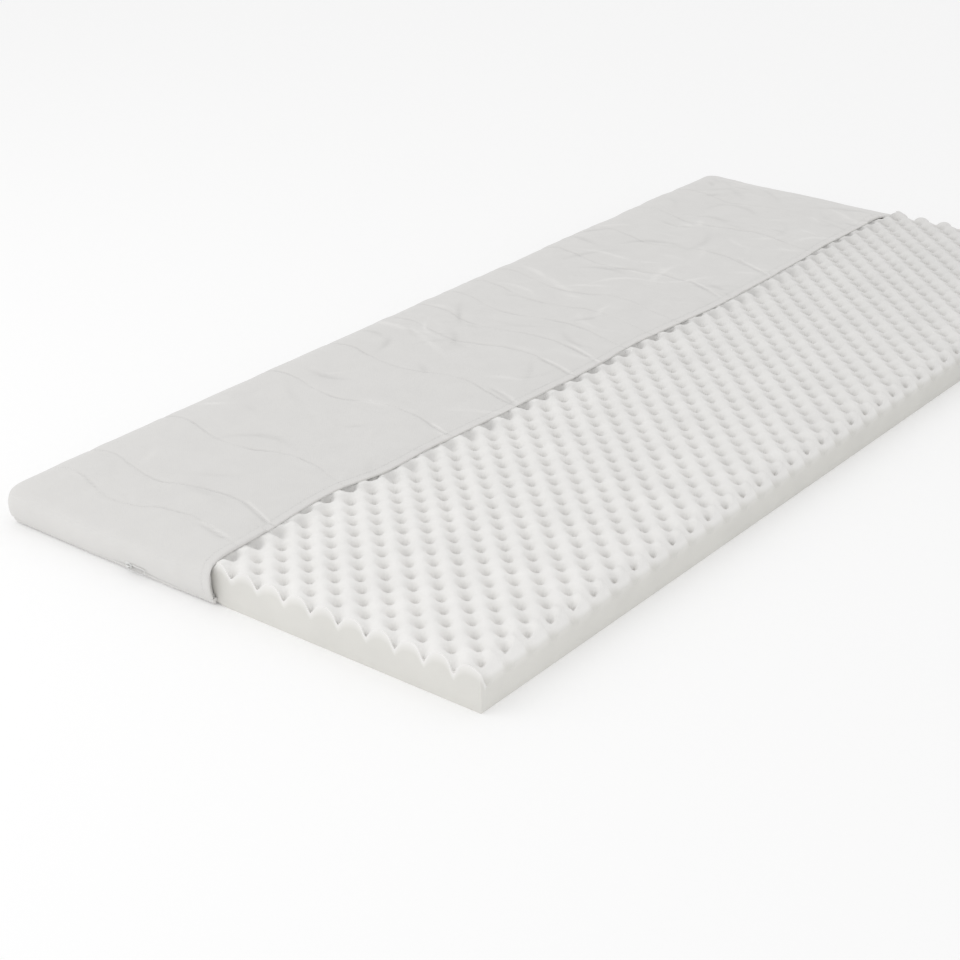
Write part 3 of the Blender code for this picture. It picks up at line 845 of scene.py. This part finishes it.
def cover_relief(cover, along, across, from_edge):
    """Height of the quilted face over its smooth section: soft noise of three sizes and the wrinkles, less
    the sewn lines' valleys, a faint line and pucker at the hem, and a quarter round at the very edge. It
    comes with the painted shade of the lines and of the hem line, and the painted light and shade of the
    wrinkles, for the material."""
    depth, crease = quilt_field(cover, along, across)
    loose = np.clip(0.45 + 0.8 * along, 0, 1.4)
    relief = -cover.quilt_depth * depth
    relief += 0.0013 * loose * soft_noise(along, across, 0.085, 3)
    relief += 0.0009 * loose * soft_noise(along, across, 0.030, 4)
    relief += 0.00018 * soft_noise(along, across, 0.012, 14)
    wrinkles = creases(along, across)
    relief += wrinkles
    hem_line = np.exp(-((from_edge - cover.hem_width) / 0.0020) ** 2)
    relief -= 0.00015 * hem_line
    pucker = np.exp(-(from_edge - cover.hem_width * 0.6) ** 2 / 0.00018)
    relief += 0.00020 * pucker * soft_noise(along, across, 0.008, 6)
    rounding = np.clip(1 - from_edge / 0.0016, 0, 1)
    relief -= 0.0012 * (1 - np.sqrt(1 - rounding ** 2))
    relief = np.clip(relief, -0.0034, 0.0018)
    # The wrinkles' heights also go to the material, as painted light on their ridges and painted shade in
    # their troughs.
    return relief, np.maximum(crease, 0.2 * hem_line), np.clip(wrinkles / 0.001, -1, 1)


def flat_rows(cover):
    """Along, of the cover's rows between its two end sections: close together at each sewn line."""
    start, stop = END_SECTION[0][0], FOAM_LENGTH - END_SECTION[0][0]
    half = np.array((0.0008, 0.0018, 0.0032, 0.005, 0.008, 0.012))
    close = np.concatenate((-half[::-1], (0.0,), half))
    lines = [cover.quilt_first + line * cover.quilt_pitch for line, _ in QUILTING if line]
    dense = np.concatenate([line + close for line in lines])
    sparse = np.arange(start + 0.006, stop, 0.0065)
    nearest = np.abs(sparse[:, None] - np.array(lines)[None, :]).min(axis=1)
    return np.sort(np.concatenate((dense, sparse[nearest > 0.016])))


def sheet_grid(cover, levels, flats, columns_from_edge, plain, edge_line, follow):
    """The points of a cover sheet between its cut edge and its border on the other three sides.

    Rows run across the bed: the near end's levels, the flat rows, the far end's levels. Columns run along
    it: the cut edge, plain columns, the covered side's levels. Where both have levels the corner is round.
    """
    count = len(levels["length"])
    down = np.arange(count - 1, -1, -1)
    row_level = np.concatenate((down, np.zeros(len(flats), int), down[::-1]))
    row_end = np.concatenate((-np.ones(count), np.zeros(len(flats)), np.ones(count)))
    row_along = np.concatenate((levels["end"][down], flats, FOAM_LENGTH - levels["end"][down[::-1]]))
    edge = np.where(row_end < 0, levels["edge"][row_level], edge_line(row_along))
    flat_edge = FOAM_WIDTH - levels["side"][0]
    hem = edge[:, None] + columns_from_edge[None, :]
    share = np.linspace(0, 1, plain + 1)[None, 1:]
    inner = hem[:, -1:] + (flat_edge - hem[:, -1:]) * share
    side = np.broadcast_to(FOAM_WIDTH - levels["side"][1:], (len(row_along), count - 1))
    across = np.concatenate((hem, inner, side), axis=1)
    column_level = np.concatenate((np.zeros(len(columns_from_edge) + plain, int), np.arange(1, count)))
    along = np.broadcast_to(row_along[:, None], across.shape).copy()
    start = END_SECTION[0][0]
    ramp = np.clip(np.minimum(row_along - start, FOAM_LENGTH - start - row_along) / 0.018, 0, 1)
    along += follow * np.where(row_end == 0, ramp, 0)[:, None] * quilt_sway(cover, across)
    height = np.where(row_end[:, None] == 0, levels["side_height"][column_level][None, :],
                      levels["end_height"][row_level][:, None])
    height = height + ((row_end < 0) * levels["lift"][row_level])[:, None] * cut_share(across - edge[:, None])
    rows, columns = np.meshgrid(row_level, column_level, indexing="ij")
    corner = (row_end[:, None] != 0) & (columns > 0)
    end_inset, side_inset, corner_height = corner_points(levels, rows, columns)
    from_end = np.where(row_end[:, None] < 0, end_inset, FOAM_LENGTH - end_inset)
    along = np.where(corner, from_end, along)
    across = np.where(corner, FOAM_WIDTH - side_inset, across)
    height = np.where(corner, corner_height, height)
    length = levels["length"]
    near_length = levels["end"][0] - levels["end"][row_level] - length[row_level]
    cloth_along = row_along + np.where(row_end < 0, near_length, 0)
    cloth_along = np.where(row_end > 0, FOAM_LENGTH - levels["end"][0] + length[row_level], cloth_along)
    cloth_across = np.where(column_level > 0, FOAM_WIDTH - levels["side"][0] + length[column_level], 0)
    swayed = np.where(rows + columns == 0, along - row_along[:, None], 0)
    cloth = np.stack((np.broadcast_to(cloth_along[:, None], along.shape) + swayed,
                      np.where(columns > 0, cloth_across[None, :], across)), axis=-1)
    return {"along": along, "across": across, "height": height, "cloth": cloth, "row_end": row_end,
            "lowness": np.maximum(rows, columns) / (count - 1), "levels": (rows, columns),
            "from_edge": np.where(columns > 0, 1.0, across - edge[:, None])}


def add_sheet(name, outer, inner, material, numbers, cloth):
    """A closed sheet between two like grids of points."""
    rows, columns = outer.shape[:2]
    border = border_of(rows, columns)
    faces = [grid_quads(rows, columns)[:, ::-1], grid_quads(rows, columns, rows * columns),
             ribbon(border, border + rows * columns, closed=True)]
    points = np.concatenate((outer.reshape(-1, 3), inner.reshape(-1, 3)))
    doubled = {label: np.concatenate([side.ravel() for side in both]) for label, both in numbers.items()}
    return add_piece(name, points, faces, material, doubled, np.tile(cloth.reshape(-1, 2), (2, 1)),
                     sharp=math.radians(60))


def cover_grids(cover):
    """Outer and inner points of the quilted cover, with its normals, the painted shade and light for the
    material, and its layout.

    The outer face is the section plus the relief along its normals, rolled in and sunk at the cut edge. The
    inner face is the section less the thickness, which fills the hem down the ends and is bevelled there.
    """
    flats = flat_rows(cover)
    count, plain = 46, 46
    levels = cover_levels(END_SECTION, SIDE_SECTION, count, 0.0)
    grid = sheet_grid(cover, levels, flats, np.array(HEM_COLUMNS), plain, cut_line, 1.0)
    near = (grid["row_end"] < 0)[:, None]
    sag = np.where(near, stray(grid["across"]) - closed_lips(grid["across"]), 0) * grid["lowness"] ** 3
    outer = place(grid["along"], grid["across"], grid["height"] + sag)
    normals = surface_normals(outer)
    for row in (0, -1):
        middle = normals[row, -2] + normals[1 if row == 0 else -2, -1]
        normals[row, -1] = middle / np.linalg.norm(middle)
    normals *= np.sign(normals[len(flats), 20, 2])
    relief, crease, folds = cover_relief(cover, grid["along"], grid["across"], grid["from_edge"])
    settle = np.clip(1.15 - grid["lowness"] ** 2, 0.0, 1.0)
    relief = relief * np.where(grid["lowness"] > 0.9, 0.5, settle)
    ends = (grid["levels"][0] > 0) & (grid["levels"][1] == 0)
    rolled = np.clip(1 - grid["from_edge"] / ROLL_WIDTH, 0, 1) * ends
    relief -= ROLL_DEPTH * (1 - np.sqrt(1 - rolled ** 2)) * np.clip(grid["lowness"] * 6, 0, 1)
    thinner = edge_share(grid["from_edge"]) * (grid["lowness"] == 0)
    thick = cover.thickness + (cover.edge_thickness - cover.thickness) * thinner
    outside = -levels["end"][grid["levels"][0]] - 0.0010
    filled = np.clip((FILL_WIDTH - grid["from_edge"]) / FILL_FADE, 0, 1) * ends
    thick = thick + np.clip(outside - cover.thickness, 0, None) * filled
    drop = normals * (cover.edge_drop * thinner)[..., None]
    inner = outer - drop - normals * thick[..., None]
    bevel = BEVEL_SHARE * np.clip(outside, 0, None) * np.exp(-(grid["from_edge"] / BEVEL_WIDTH) ** 2)
    inner[..., 0] -= bevel * ends * near
    outer = outer - drop + normals * (relief * (1 - 0.35 * thinner))[..., None]
    # Painted shade for the inner side: the lines' shade plus a strong painted shade on the hem's cut face down
    # the near end.
    shaded = crease + 1.6 * ends * near * (grid["from_edge"] < 0.0002)
    return outer, inner, normals, {"crease": (crease, shaded), "folds": (folds, folds)}, grid


# Stitches


def tube_faces(count, around):
    """Quads round a tube of rings of `around` points, one after the other, and its two end faces."""
    number = np.arange(count * around).reshape(count, around)
    sides = [ribbon(number[:, one], number[:, (one + 1) % around], closed=False) for one in range(around)]
    return sides + [number[:1, ::-1], number[-1:, :]]


def superellipse(count, power_across, power_up):
    """An outline round the middle, from -1 to 1 both ways: the powers, below 1, square its corners."""
    turn = np.arange(count) * 2 * math.pi / count
    across, up = np.cos(turn), np.sin(turn)
    return np.sign(across) * np.abs(across) ** power_across, np.sign(up) * np.abs(up) ** power_up


def bars(middles, lengthwise, normals, half, radius):
    """Small rounded bars: rings of four points, narrow at both ends, laid on the surface at each middle."""
    sideways = np.cross(lengthwise, normals)
    rings = np.array((-1.0, -0.7, 0.7, 1.0))
    widths = np.array((0.35, 1.0, 1.0, 0.35))
    angle = np.arange(4) * math.pi / 2 + math.pi / 4
    out = np.cos(angle)[None, :] * widths[:, None] * radius
    up = np.sin(angle)[None, :] * widths[:, None] * radius
    points = (middles[:, None, None, :] + lengthwise[:, None, None, :] * (rings * half)[None, :, None, None]
              + sideways[:, None, None, :] * out[None, :, :, None]
              + normals[:, None, None, :] * up[None, :, :, None])
    base = np.arange(len(middles))[:, None] * 16
    ring = np.arange(3)[:, None] * 4 + np.arange(4)[None, :]
    turned = np.arange(3)[:, None] * 4 + (np.arange(4)[None, :] + 1) % 4
    sides = np.stack((ring, turned, turned + 4, ring + 4), axis=-1).reshape(-1, 4)
    caps = np.array(((3, 2, 1, 0), (12, 13, 14, 15)))
    local = np.concatenate((sides, caps))
    return points.reshape(-1, 3), (base[:, :, None] + local[None, :, :]).reshape(-1, 4)


def along_line(points, normals, spacing, start=0.0):
    """Places, directions and normals at even distances on a row of points."""
    steps = np.linalg.norm(np.diff(points, axis=0), axis=1)
    length = np.concatenate(([0.0], np.cumsum(steps)))
    at = np.arange(start, length[-1] - spacing / 2, spacing)

    def between(place_on_line, values):
        """Values on the row's points, at places between them."""
        return np.stack([np.interp(place_on_line, length, values[:, axis]) for axis in range(3)], axis=1)

    middles, ups = between(at, points), between(at, normals)
    ahead = between(at + spacing / 4, points) - middles
    ahead /= np.linalg.norm(ahead, axis=1, keepdims=True)
    ups /= np.linalg.norm(ups, axis=1, keepdims=True)
    return middles, ahead, ups


def thread_rows(cover, outer, normals, grid):
    """The rows of points on the cover's face that each quilting line follows."""
    top = grid["levels"][0][:, 0] < SEWN_LEVELS
    rows = np.flatnonzero(top)
    for line, _ in QUILTING:
        target = quilt_line(cover, grid["across"], line)
        picked, ups = [], []
        for column in range(4, outer.shape[1]):
            want = np.interp(0.0, grid["along"][top, column] - target[top, column], np.arange(len(rows)))
            low = int(want)
            share = want - low
            high = min(low + 1, len(rows) - 1)
            picked.append(outer[rows[low], column] * (1 - share) + outer[rows[high], column] * share)
            ups.append(normals[rows[low], column] * (1 - share) + normals[rows[high], column] * share)
        yield np.array(picked), np.array(ups)


# Operators


class TOPPER_OT_foam(bpy.types.Operator):
    """Build the egg-crate foam slab."""

    bl_idname = "topper.foam"
    bl_label = "Foam slab"

    def execute(self, context):
        """Top grid, walls in four bands, and an underside that steps up over the base panel."""
        foam, cover = context.scene.topper_foam, context.scene.topper_cover
        step = foam.pitch / 12
        alongs = np.linspace(0, FOAM_LENGTH, round(FOAM_LENGTH / step) + 1)
        rim = np.array((0, 0.0004, 0.0010, 0.0018, 0.0030, 0.0045, 0.0065, 0.0090))
        bare = np.arange(0.0120, 0.512, step)
        hidden = np.arange(0.512, FOAM_WIDTH - 0.006, 0.0125)
        acrosses = np.concatenate((rim, bare, hidden, (FOAM_WIDTH,)))
        along, across = round_corner(*np.meshgrid(alongs, acrosses, indexing="ij"), CORNER_RADIUS)
        height = np.minimum(foam_height(foam, along, across), pressed_height(cover, along, across))
        rows, columns = along.shape
        top = place(along, across, height).reshape(-1, 3)
        border = border_of(rows, columns)
        rings = [border]
        points = [top]
        flat_along, flat_across = along.ravel()[border], across.ravel()[border]
        step_top = base_cut(flat_along) - STEP_INSET
        floor = STEP_HEIGHT * np.clip((flat_across - step_top + STEP_RUN) / STEP_RUN, 0, 1)
        tuck = 0.005 * np.clip((flat_across - FOAM_WIDTH + CORNER_RADIUS) / CORNER_RADIUS, 0, 1)
        ease = 0.0012
        for share in (0.25, 0.6, 0.93, 1.0):
            last = share == 1.0
            ring_height = top[border, 2] * (1 - share) + floor * share
            ring_along = np.clip(flat_along, ease * last, FOAM_LENGTH - ease * last)
            ring_across = np.clip(flat_across, ease * last, FOAM_WIDTH) - tuck * share
            rings.append(np.arange(len(border)) + sum(len(part) for part in points))
            points.append(place(ring_along, ring_across, ring_height))
        faces = [grid_quads(rows, columns)[:, ::-1]]
        faces += [ribbon(one, two, closed=True) for one, two in zip(rings, rings[1:])]
        faces += self.underside(np.concatenate(points), rings[-1], rows, columns, points)
        cut = np.ones(sum(len(part) for part in points))
        # The cut colour, with its painted shade, also covers the low part of the bare side's rim.
        cut[: len(top)] = (np.clip((0.050 - height) / 0.008, 0, 1) * (across < 0.03) * (along > 0.01)).ravel()
        # Painted shade in the "deep" attribute: the pits are darker by their depth share and the bowls beside
        # the cover's cut edge darker still, none within 12 mm of the near end.
        deep = np.zeros(len(cut))
        pit, bowl = pit_share(foam, along, across)
        shaded = np.clip((under_edge(along, across) + PAINTED_SHADE_REACH) / BOWL_FADE, 0, 1) * bowl
        deep[: len(top)] = (np.maximum(pit ** 2, 1.5 * shaded) * np.clip(along / 0.012, 0, 1)).ravel()
        piece = add_piece("foam_slab", np.concatenate(points), faces, foam_finish(foam),
                          {"cut": cut, "deep": deep}, sharp=math.radians(50))
        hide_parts("foam_core")
        return {"FINISHED"}

    def underside(self, placed, ring, rows, columns, points):
        """Faces between the lowest ring's two long sides, and a fan-like band at each end."""
        near = ring[:columns]
        covered = ring[columns - 1: columns + rows - 1]
        far = ring[columns + rows - 2: 2 * columns + rows - 2][::-1]
        bare = np.concatenate((ring[2 * columns + rows - 3:], ring[:1]))[::-1]
        low = placed[bare[1:-1]]
        across = BARE_SIDE - placed[covered[1:-1], 0]
        along = low[:, 1] - NEAR_END
        step_top = base_cut(along) - STEP_INSET
        inner = [place(along, step_top - STEP_RUN, along * 0), place(along, step_top, along * 0 + STEP_HEIGHT)]
        first = sum(len(part) for part in points)
        ramp = first + np.arange(len(along))
        lines = [bare[1:-1], ramp, ramp + len(along), covered[1:-1]]
        points.extend(inner)
        faces = [ribbon(two, one, closed=False) for one, two in zip(lines, lines[1:])]
        allplaced = np.concatenate(points)
        for end, number, turned in ((near, 0, False), (far, -1, True)):
            inward = np.array([line[number] for line in lines])
            fine = BARE_SIDE - allplaced[end, 0]
            coarse = BARE_SIDE - allplaced[inward, 0]
            nearest = np.searchsorted((coarse[1:] + coarse[:-1]) / 2, fine)
            same = nearest[1:] == nearest[:-1]
            one, two = end[:-1], end[1:]
            triangles = np.stack((one, two, inward[nearest[1:]]), axis=1)[same]
            quads = np.stack((one, two, inward[nearest[1:]], inward[nearest[:-1]]), axis=1)[~same]
            faces += [triangles[:, ::-1] if turned else triangles, quads[:, ::-1] if turned else quads]
        return faces


class TOPPER_OT_cover(bpy.types.Operator):
    """Build the quilted cover with its sewing."""

    bl_idname = "topper.cover"
    bl_label = "Quilted cover"

    def execute(self, context):
        """The sheet between its outer and inner grids, then its quilting and hem threads."""
        cover = context.scene.topper_cover
        outer, inner, normals, numbers, grid = cover_grids(cover)
        cloth = cloth_finish("quilted_cloth", cover.colour, COVER_KNIT, creases=True)
        piece = add_sheet("quilted_cover", outer, inner, cloth, numbers, grid["cloth"])
        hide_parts("cover_top")
        thread = thread_finish(cover)
        lines = thread_rows(cover, outer, normals, grid)
        sewn = [along_line(line, ups, QUILT_STITCH[0]) for line, ups in lines]
        middles, ahead, ups = (np.concatenate(part) for part in zip(*sewn))
        quilting = self.stitches("quilting_thread", middles, ahead, ups, QUILT_STITCH[1:], thread)
        column = int(np.argmin(np.abs(np.array(HEM_COLUMNS) - cover.hem_width)))
        middles, ahead, ups = along_line(outer[:, column], normals[:, column], HEM_STITCH[0], 0.002)
        hem = self.stitches("hem_thread", middles, ahead, ups, HEM_STITCH[1:], thread)
        return {"FINISHED"}

    def stitches(self, name, middles, ahead, ups, size, thread):
        """One mesh of like stitches."""
        points, faces = bars(middles + ups * size[1] * 0.4, ahead, ups, *size)
        piece = add_piece(name, points, [faces], thread)
        return piece


class TOPPER_OT_base(bpy.types.Operator):
    """Build the base panel under the covered half."""

    bl_idname = "topper.base"
    bl_label = "Base panel"

    def execute(self, context):
        """The panel lies on the floor and its rim stands up to the zip and to the seam."""
        cover = context.scene.topper_cover
        flats = np.linspace(0.04, FOAM_LENGTH - 0.04, 150)
        count, plain = 24, 24
        outer_levels = cover_levels(BASE_SECTION, BASE_SECTION, count, 0.0)
        inner_levels = cover_levels(BASE_SECTION, BASE_SECTION, count, cover.base_thickness)
        hem = np.array((0.0, 0.002))
        faces = []
        for levels in (outer_levels, inner_levels):
            grid = sheet_grid(cover, levels, flats, hem, plain, base_cut, 0.0)
            rim = grid["lowness"] ** 4
            near = (grid["row_end"] < 0)[:, None]
            on_zip = np.clip((0.885 - grid["across"]) / 0.015, 0, 1) * near
            rise = SEAM_RISE * (1 - on_zip) + (stray(grid["across"]) + closed_lips(grid["across"])) * on_zip
            ripple = 0.0003 * soft_noise(grid["along"] * 2, grid["across"] * 2, 0.03, 8) * rim
            along = grid["along"] + ripple * np.where(near, 1, -1)
            if levels is inner_levels:
                along = np.where(near & (grid["from_edge"] < 0.003), np.maximum(along, -0.0012), along)
            faces.append(place(along, grid["across"], np.maximum(grid["height"] + rise * rim, 0.0001)))
        cloth = cloth_finish("base_cloth", cover.colour, BASE_KNIT, creases=False)
        piece = add_sheet("base_panel", faces[0], faces[1], cloth, {}, grid["cloth"])
        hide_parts("cover_base")
        return {"FINISHED"}


class TOPPER_OT_zip(bpy.types.Operator):
    """Build the zip: its tape, teeth, slider and puller."""

    bl_idname = "topper.zip"
    bl_label = "Zip"

    def execute(self, context):
        """The tape is a thin band behind the lips, and the teeth are two rows of bars that interlock."""
        settings = context.scene.topper_zip
        across = np.linspace(ZIP_FROM, ZIP_TO, 160)
        profile = np.array(((-0.0039, -0.0055), (-0.0049, -0.0055), (-0.0049, 0.0),
                            (-0.0049, 0.0055), (-0.0039, 0.0055), (-0.0039, 0.0)))
        middle = ZIP_HEIGHT + stray(across)
        tube = place(profile[None, :, 0], across[:, None], middle[:, None] + profile[None, :, 1])
        rows, columns = tube.shape[:2]
        sides = np.linalg.norm(np.diff(tube[0], axis=0), axis=1)
        reach = np.cumsum(np.concatenate(([0.0], sides)))
        cloth = np.stack(np.broadcast_arrays(across[:, None], reach[None, :]), axis=-1).reshape(-1, 2)
        tape = add_piece("zip_band", tube.reshape(-1, 3), tube_faces(rows, columns), tape_finish(settings),
                         cloth=cloth, sharp=math.radians(40))
        at = np.arange(ZIP_FROM + 0.001, ZIP_TO - 0.001, settings.tooth_pitch / 2)
        lean = np.where(np.arange(len(at)) % 2, 1.0, -1.0) * 0.00055
        middles = place(at * 0 + TOOTH_INSET, at, ZIP_HEIGHT + stray(at) + lean)
        upward = np.tile(np.array((0.0, 0.0, 1.0)), (len(at), 1))
        outward = np.tile(np.array((0.0, -1.0, 0.0)), (len(at), 1))
        points, quads = bars(middles, upward, outward, 0.00095, 0.00062)
        points[:, 1] = NEAR_END + TOOTH_INSET + (points[:, 1] - NEAR_END - TOOTH_INSET) * 2.6
        teeth = add_piece("zip_teeth", points, [quads], coil_finish(settings))
        metal = metal_finish(settings)
        slider = self.slider(metal)
        puller = self.puller(metal)
        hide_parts("zip_tape")
        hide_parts("zip_slider")
        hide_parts("zip_puller")
        return {"FINISHED"}

    def slider(self, metal):
        """A cushion-shaped plate with a neck behind it and an arched bridge before it."""
        middle = SLIDER_LEFT - SLIDER_LENGTH / 2
        plate = self.pillow(middle, SLIDER_LENGTH / 2, SLIDER_HIGH, SLIDER_BACK, SLIDER_FRONT)
        neck = self.pillow(middle, 0.0045, 0.0009, -0.0088, SLIDER_BACK - 0.0004)
        angle = np.linspace(0, math.pi, 17)
        bow = SLIDER_FRONT + 0.0004 - 0.0026 * np.sin(angle) ** 0.6
        path = np.stack((middle + 0.0042 * np.cos(angle), bow), axis=1)
        ring = np.arange(8) * math.pi / 4
        direction = np.gradient(path, axis=0)
        direction /= np.linalg.norm(direction, axis=1, keepdims=True)
        thick, wide = 0.0005, 0.0010
        across = path[:, :1] + direction[:, 1:] * thick * np.cos(ring)[None, :]
        inset = path[:, 1:] - direction[:, :1] * thick * np.cos(ring)[None, :]
        tube = place(inset, across, ZIP_HEIGHT + SLIDER_RISE + wide * np.sin(ring)[None, :] + across * 0)
        points, faces, first = [], [], 0
        for some, quads in (plate, neck, (tube.reshape(-1, 3), tube_faces(*tube.shape[:2]))):
            points.append(some)
            faces += [quad + first for quad in quads]
            first += len(some)
        return add_piece("slider", np.concatenate(points), faces, metal, sharp=math.radians(50))

    def pillow(self, middle, half_long, half_high, back, front):
        """A closed cushion: superellipse outlines that narrow towards its two faces."""
        outline = superellipse(32, 0.5, 0.5)
        depth = np.array((0.0, 0.0, 0.15, 0.85, 1.0, 1.0))
        size = np.array((0.0, 0.86, 1.0, 1.0, 0.86, 0.0))
        across = middle + half_long * size[:, None] * outline[0][None, :]
        height = ZIP_HEIGHT + SLIDER_RISE + half_high * size[:, None] * outline[1][None, :]
        inset = np.broadcast_to((back + (front - back) * depth)[:, None], across.shape)
        body = place(inset[1:-1], across[1:-1], height[1:-1])
        number = np.arange(4 * 32).reshape(4, 32)
        sides = [ribbon(number[one], number[one + 1], closed=True) for one in range(3)]
        return body.reshape(-1, 3), sides + [number[:1], number[-1:, ::-1]]

    def puller(self, metal):
        """A flat frame: two like outlines, one inside the other, joined by rounded faces."""
        left = SLIDER_LEFT - SLIDER_LENGTH / 2 + 0.0012
        middle, half = (left + PULLER_RIGHT) / 2, (left - PULLER_RIGHT) / 2
        outline = superellipse(64, 0.35, 0.5)
        band = np.array((0.0, 0.10, 0.5, 0.90, 1.0, 0.90, 0.5, 0.10))
        lift = np.array((0.0, 0.8, 1.0, 0.8, 0.0, -0.8, -1.0, -0.8)) * 0.00055
        high = PULLER_HIGH - PULLER_BAND * band[:, None]
        wide = half - PULLER_BAND * band[:, None]
        across = middle + wide * outline[0][None, :]
        height = ZIP_HEIGHT + SLIDER_RISE + high * outline[1][None, :]
        inset = (SLIDER_FRONT - 0.0009 - lift)[:, None] + across * 0
        tube = place(inset, across, height)
        number = np.arange(8 * 64).reshape(8, 64)
        faces = [ribbon(number[one], number[(one + 1) % 8], closed=True) for one in range(8)]
        return add_piece("puller", tube.reshape(-1, 3), faces, metal, sharp=math.radians(60))


class TOPPER_OT_stage(bpy.types.Operator):
    """Set the plain floor, the soft light and the camera."""

    bl_idname = "topper.stage"
    bl_label = "Studio"

    def execute(self, context):
        """A wide floor, an even sky, one large soft light from the left and the photograph's camera."""
        scene = context.scene
        settings = scene.topper_stage
        mesh = bpy.data.meshes.new("floor")
        signs = ((-1, -1), (1, -1), (1, 1), (-1, 1))
        corners = [(FLOOR_REACH * one, FLOOR_REACH * two, 0) for one, two in signs]
        mesh.from_pydata(corners, [], [(0, 1, 2, 3)])
        mesh.materials.append(floor_finish(settings))
        floor = bpy.data.objects.new("floor", mesh)
        scene.collection.objects.link(floor)
        world = bpy.data.worlds.new("studio")
        world.use_nodes = True
        world.node_tree.nodes["Background"].inputs["Color"].default_value = (1.0, 1.0, 1.0, 1.0)
        world.node_tree.nodes["Background"].inputs["Strength"].default_value = settings.sky
        scene.world = world
        light = bpy.data.lights.new("key", "AREA")
        light.shape = "RECTANGLE"
        light.size, light.size_y = LAMP_WIDTH, LAMP_WIDTH
        light.energy = settings.key
        key = bpy.data.objects.new("key", light)
        key.location = LAMP_PLACE
        aim = np.array(LAMP_AIM) - np.array(key.location)
        key.rotation_euler = self.turned_to(aim)
        scene.collection.objects.link(key)
        lens = bpy.data.cameras.new("camera")
        lens.sensor_width = 36.0
        lens.lens = settings.lens
        camera = bpy.data.objects.new("camera", lens)
        camera.location = np.array((BARE_SIDE, NEAR_END, 0.0)) + CAMERA_OFFSET
        camera.rotation_euler = np.radians(CAMERA_TURN)
        scene.collection.objects.link(camera)
        scene.camera = camera
        scene.view_settings.view_transform = "Standard"
        return {"FINISHED"}

    def turned_to(self, aim):
        """The turn that points a lamp's -Z along `aim`."""
        flat = math.hypot(aim[0], aim[1])
        return (math.atan2(flat, -aim[2]), 0.0, math.atan2(aim[1], aim[0]) - math.pi / 2)


OPERATORS = (TOPPER_OT_foam, TOPPER_OT_cover, TOPPER_OT_base, TOPPER_OT_zip, TOPPER_OT_stage)
SETTINGS = (("topper_foam", FoamSettings), ("topper_cover", CoverSettings), ("topper_zip", ZipSettings),
            ("topper_stage", StageSettings))


class TOPPER_PT_panel(bpy.types.Panel):
    """The topper's pieces in the sidebar."""

    bl_label = "Topper"
    bl_idname = "TOPPER_PT_panel"
    bl_space_type = "VIEW_3D"
    bl_region_type = "UI"
    bl_category = "Topper"

    def draw(self, context):
        """One button for each piece, under its settings."""
        for group, kind in SETTINGS:
            box = self.layout.box()
            for name in kind.__annotations__:
                box.prop(getattr(context.scene, group), name)
        for operator in OPERATORS:
            self.layout.operator(operator.bl_idname)


def register():
    """Registers the settings, the operators and the panel."""
    for group, kind in SETTINGS:
        bpy.utils.register_class(kind)
        setattr(bpy.types.Scene, group, bpy.props.PointerProperty(type=kind))
    for kind in (*OPERATORS, TOPPER_PT_panel):
        bpy.utils.register_class(kind)


def unregister():
    """Takes them out again."""
    for kind in (TOPPER_PT_panel, *reversed(OPERATORS)):
        bpy.utils.unregister_class(kind)
    for group, kind in reversed(SETTINGS):
        delattr(bpy.types.Scene, group)
        bpy.utils.unregister_class(kind)


def main():
    """Builds every piece and the studio."""
    register()
    bpy.ops.topper.stage()
    bpy.ops.topper.foam()
    bpy.ops.topper.base()
    bpy.ops.topper.cover()
    bpy.ops.topper.zip()


if __name__ == "__main__":
    main()
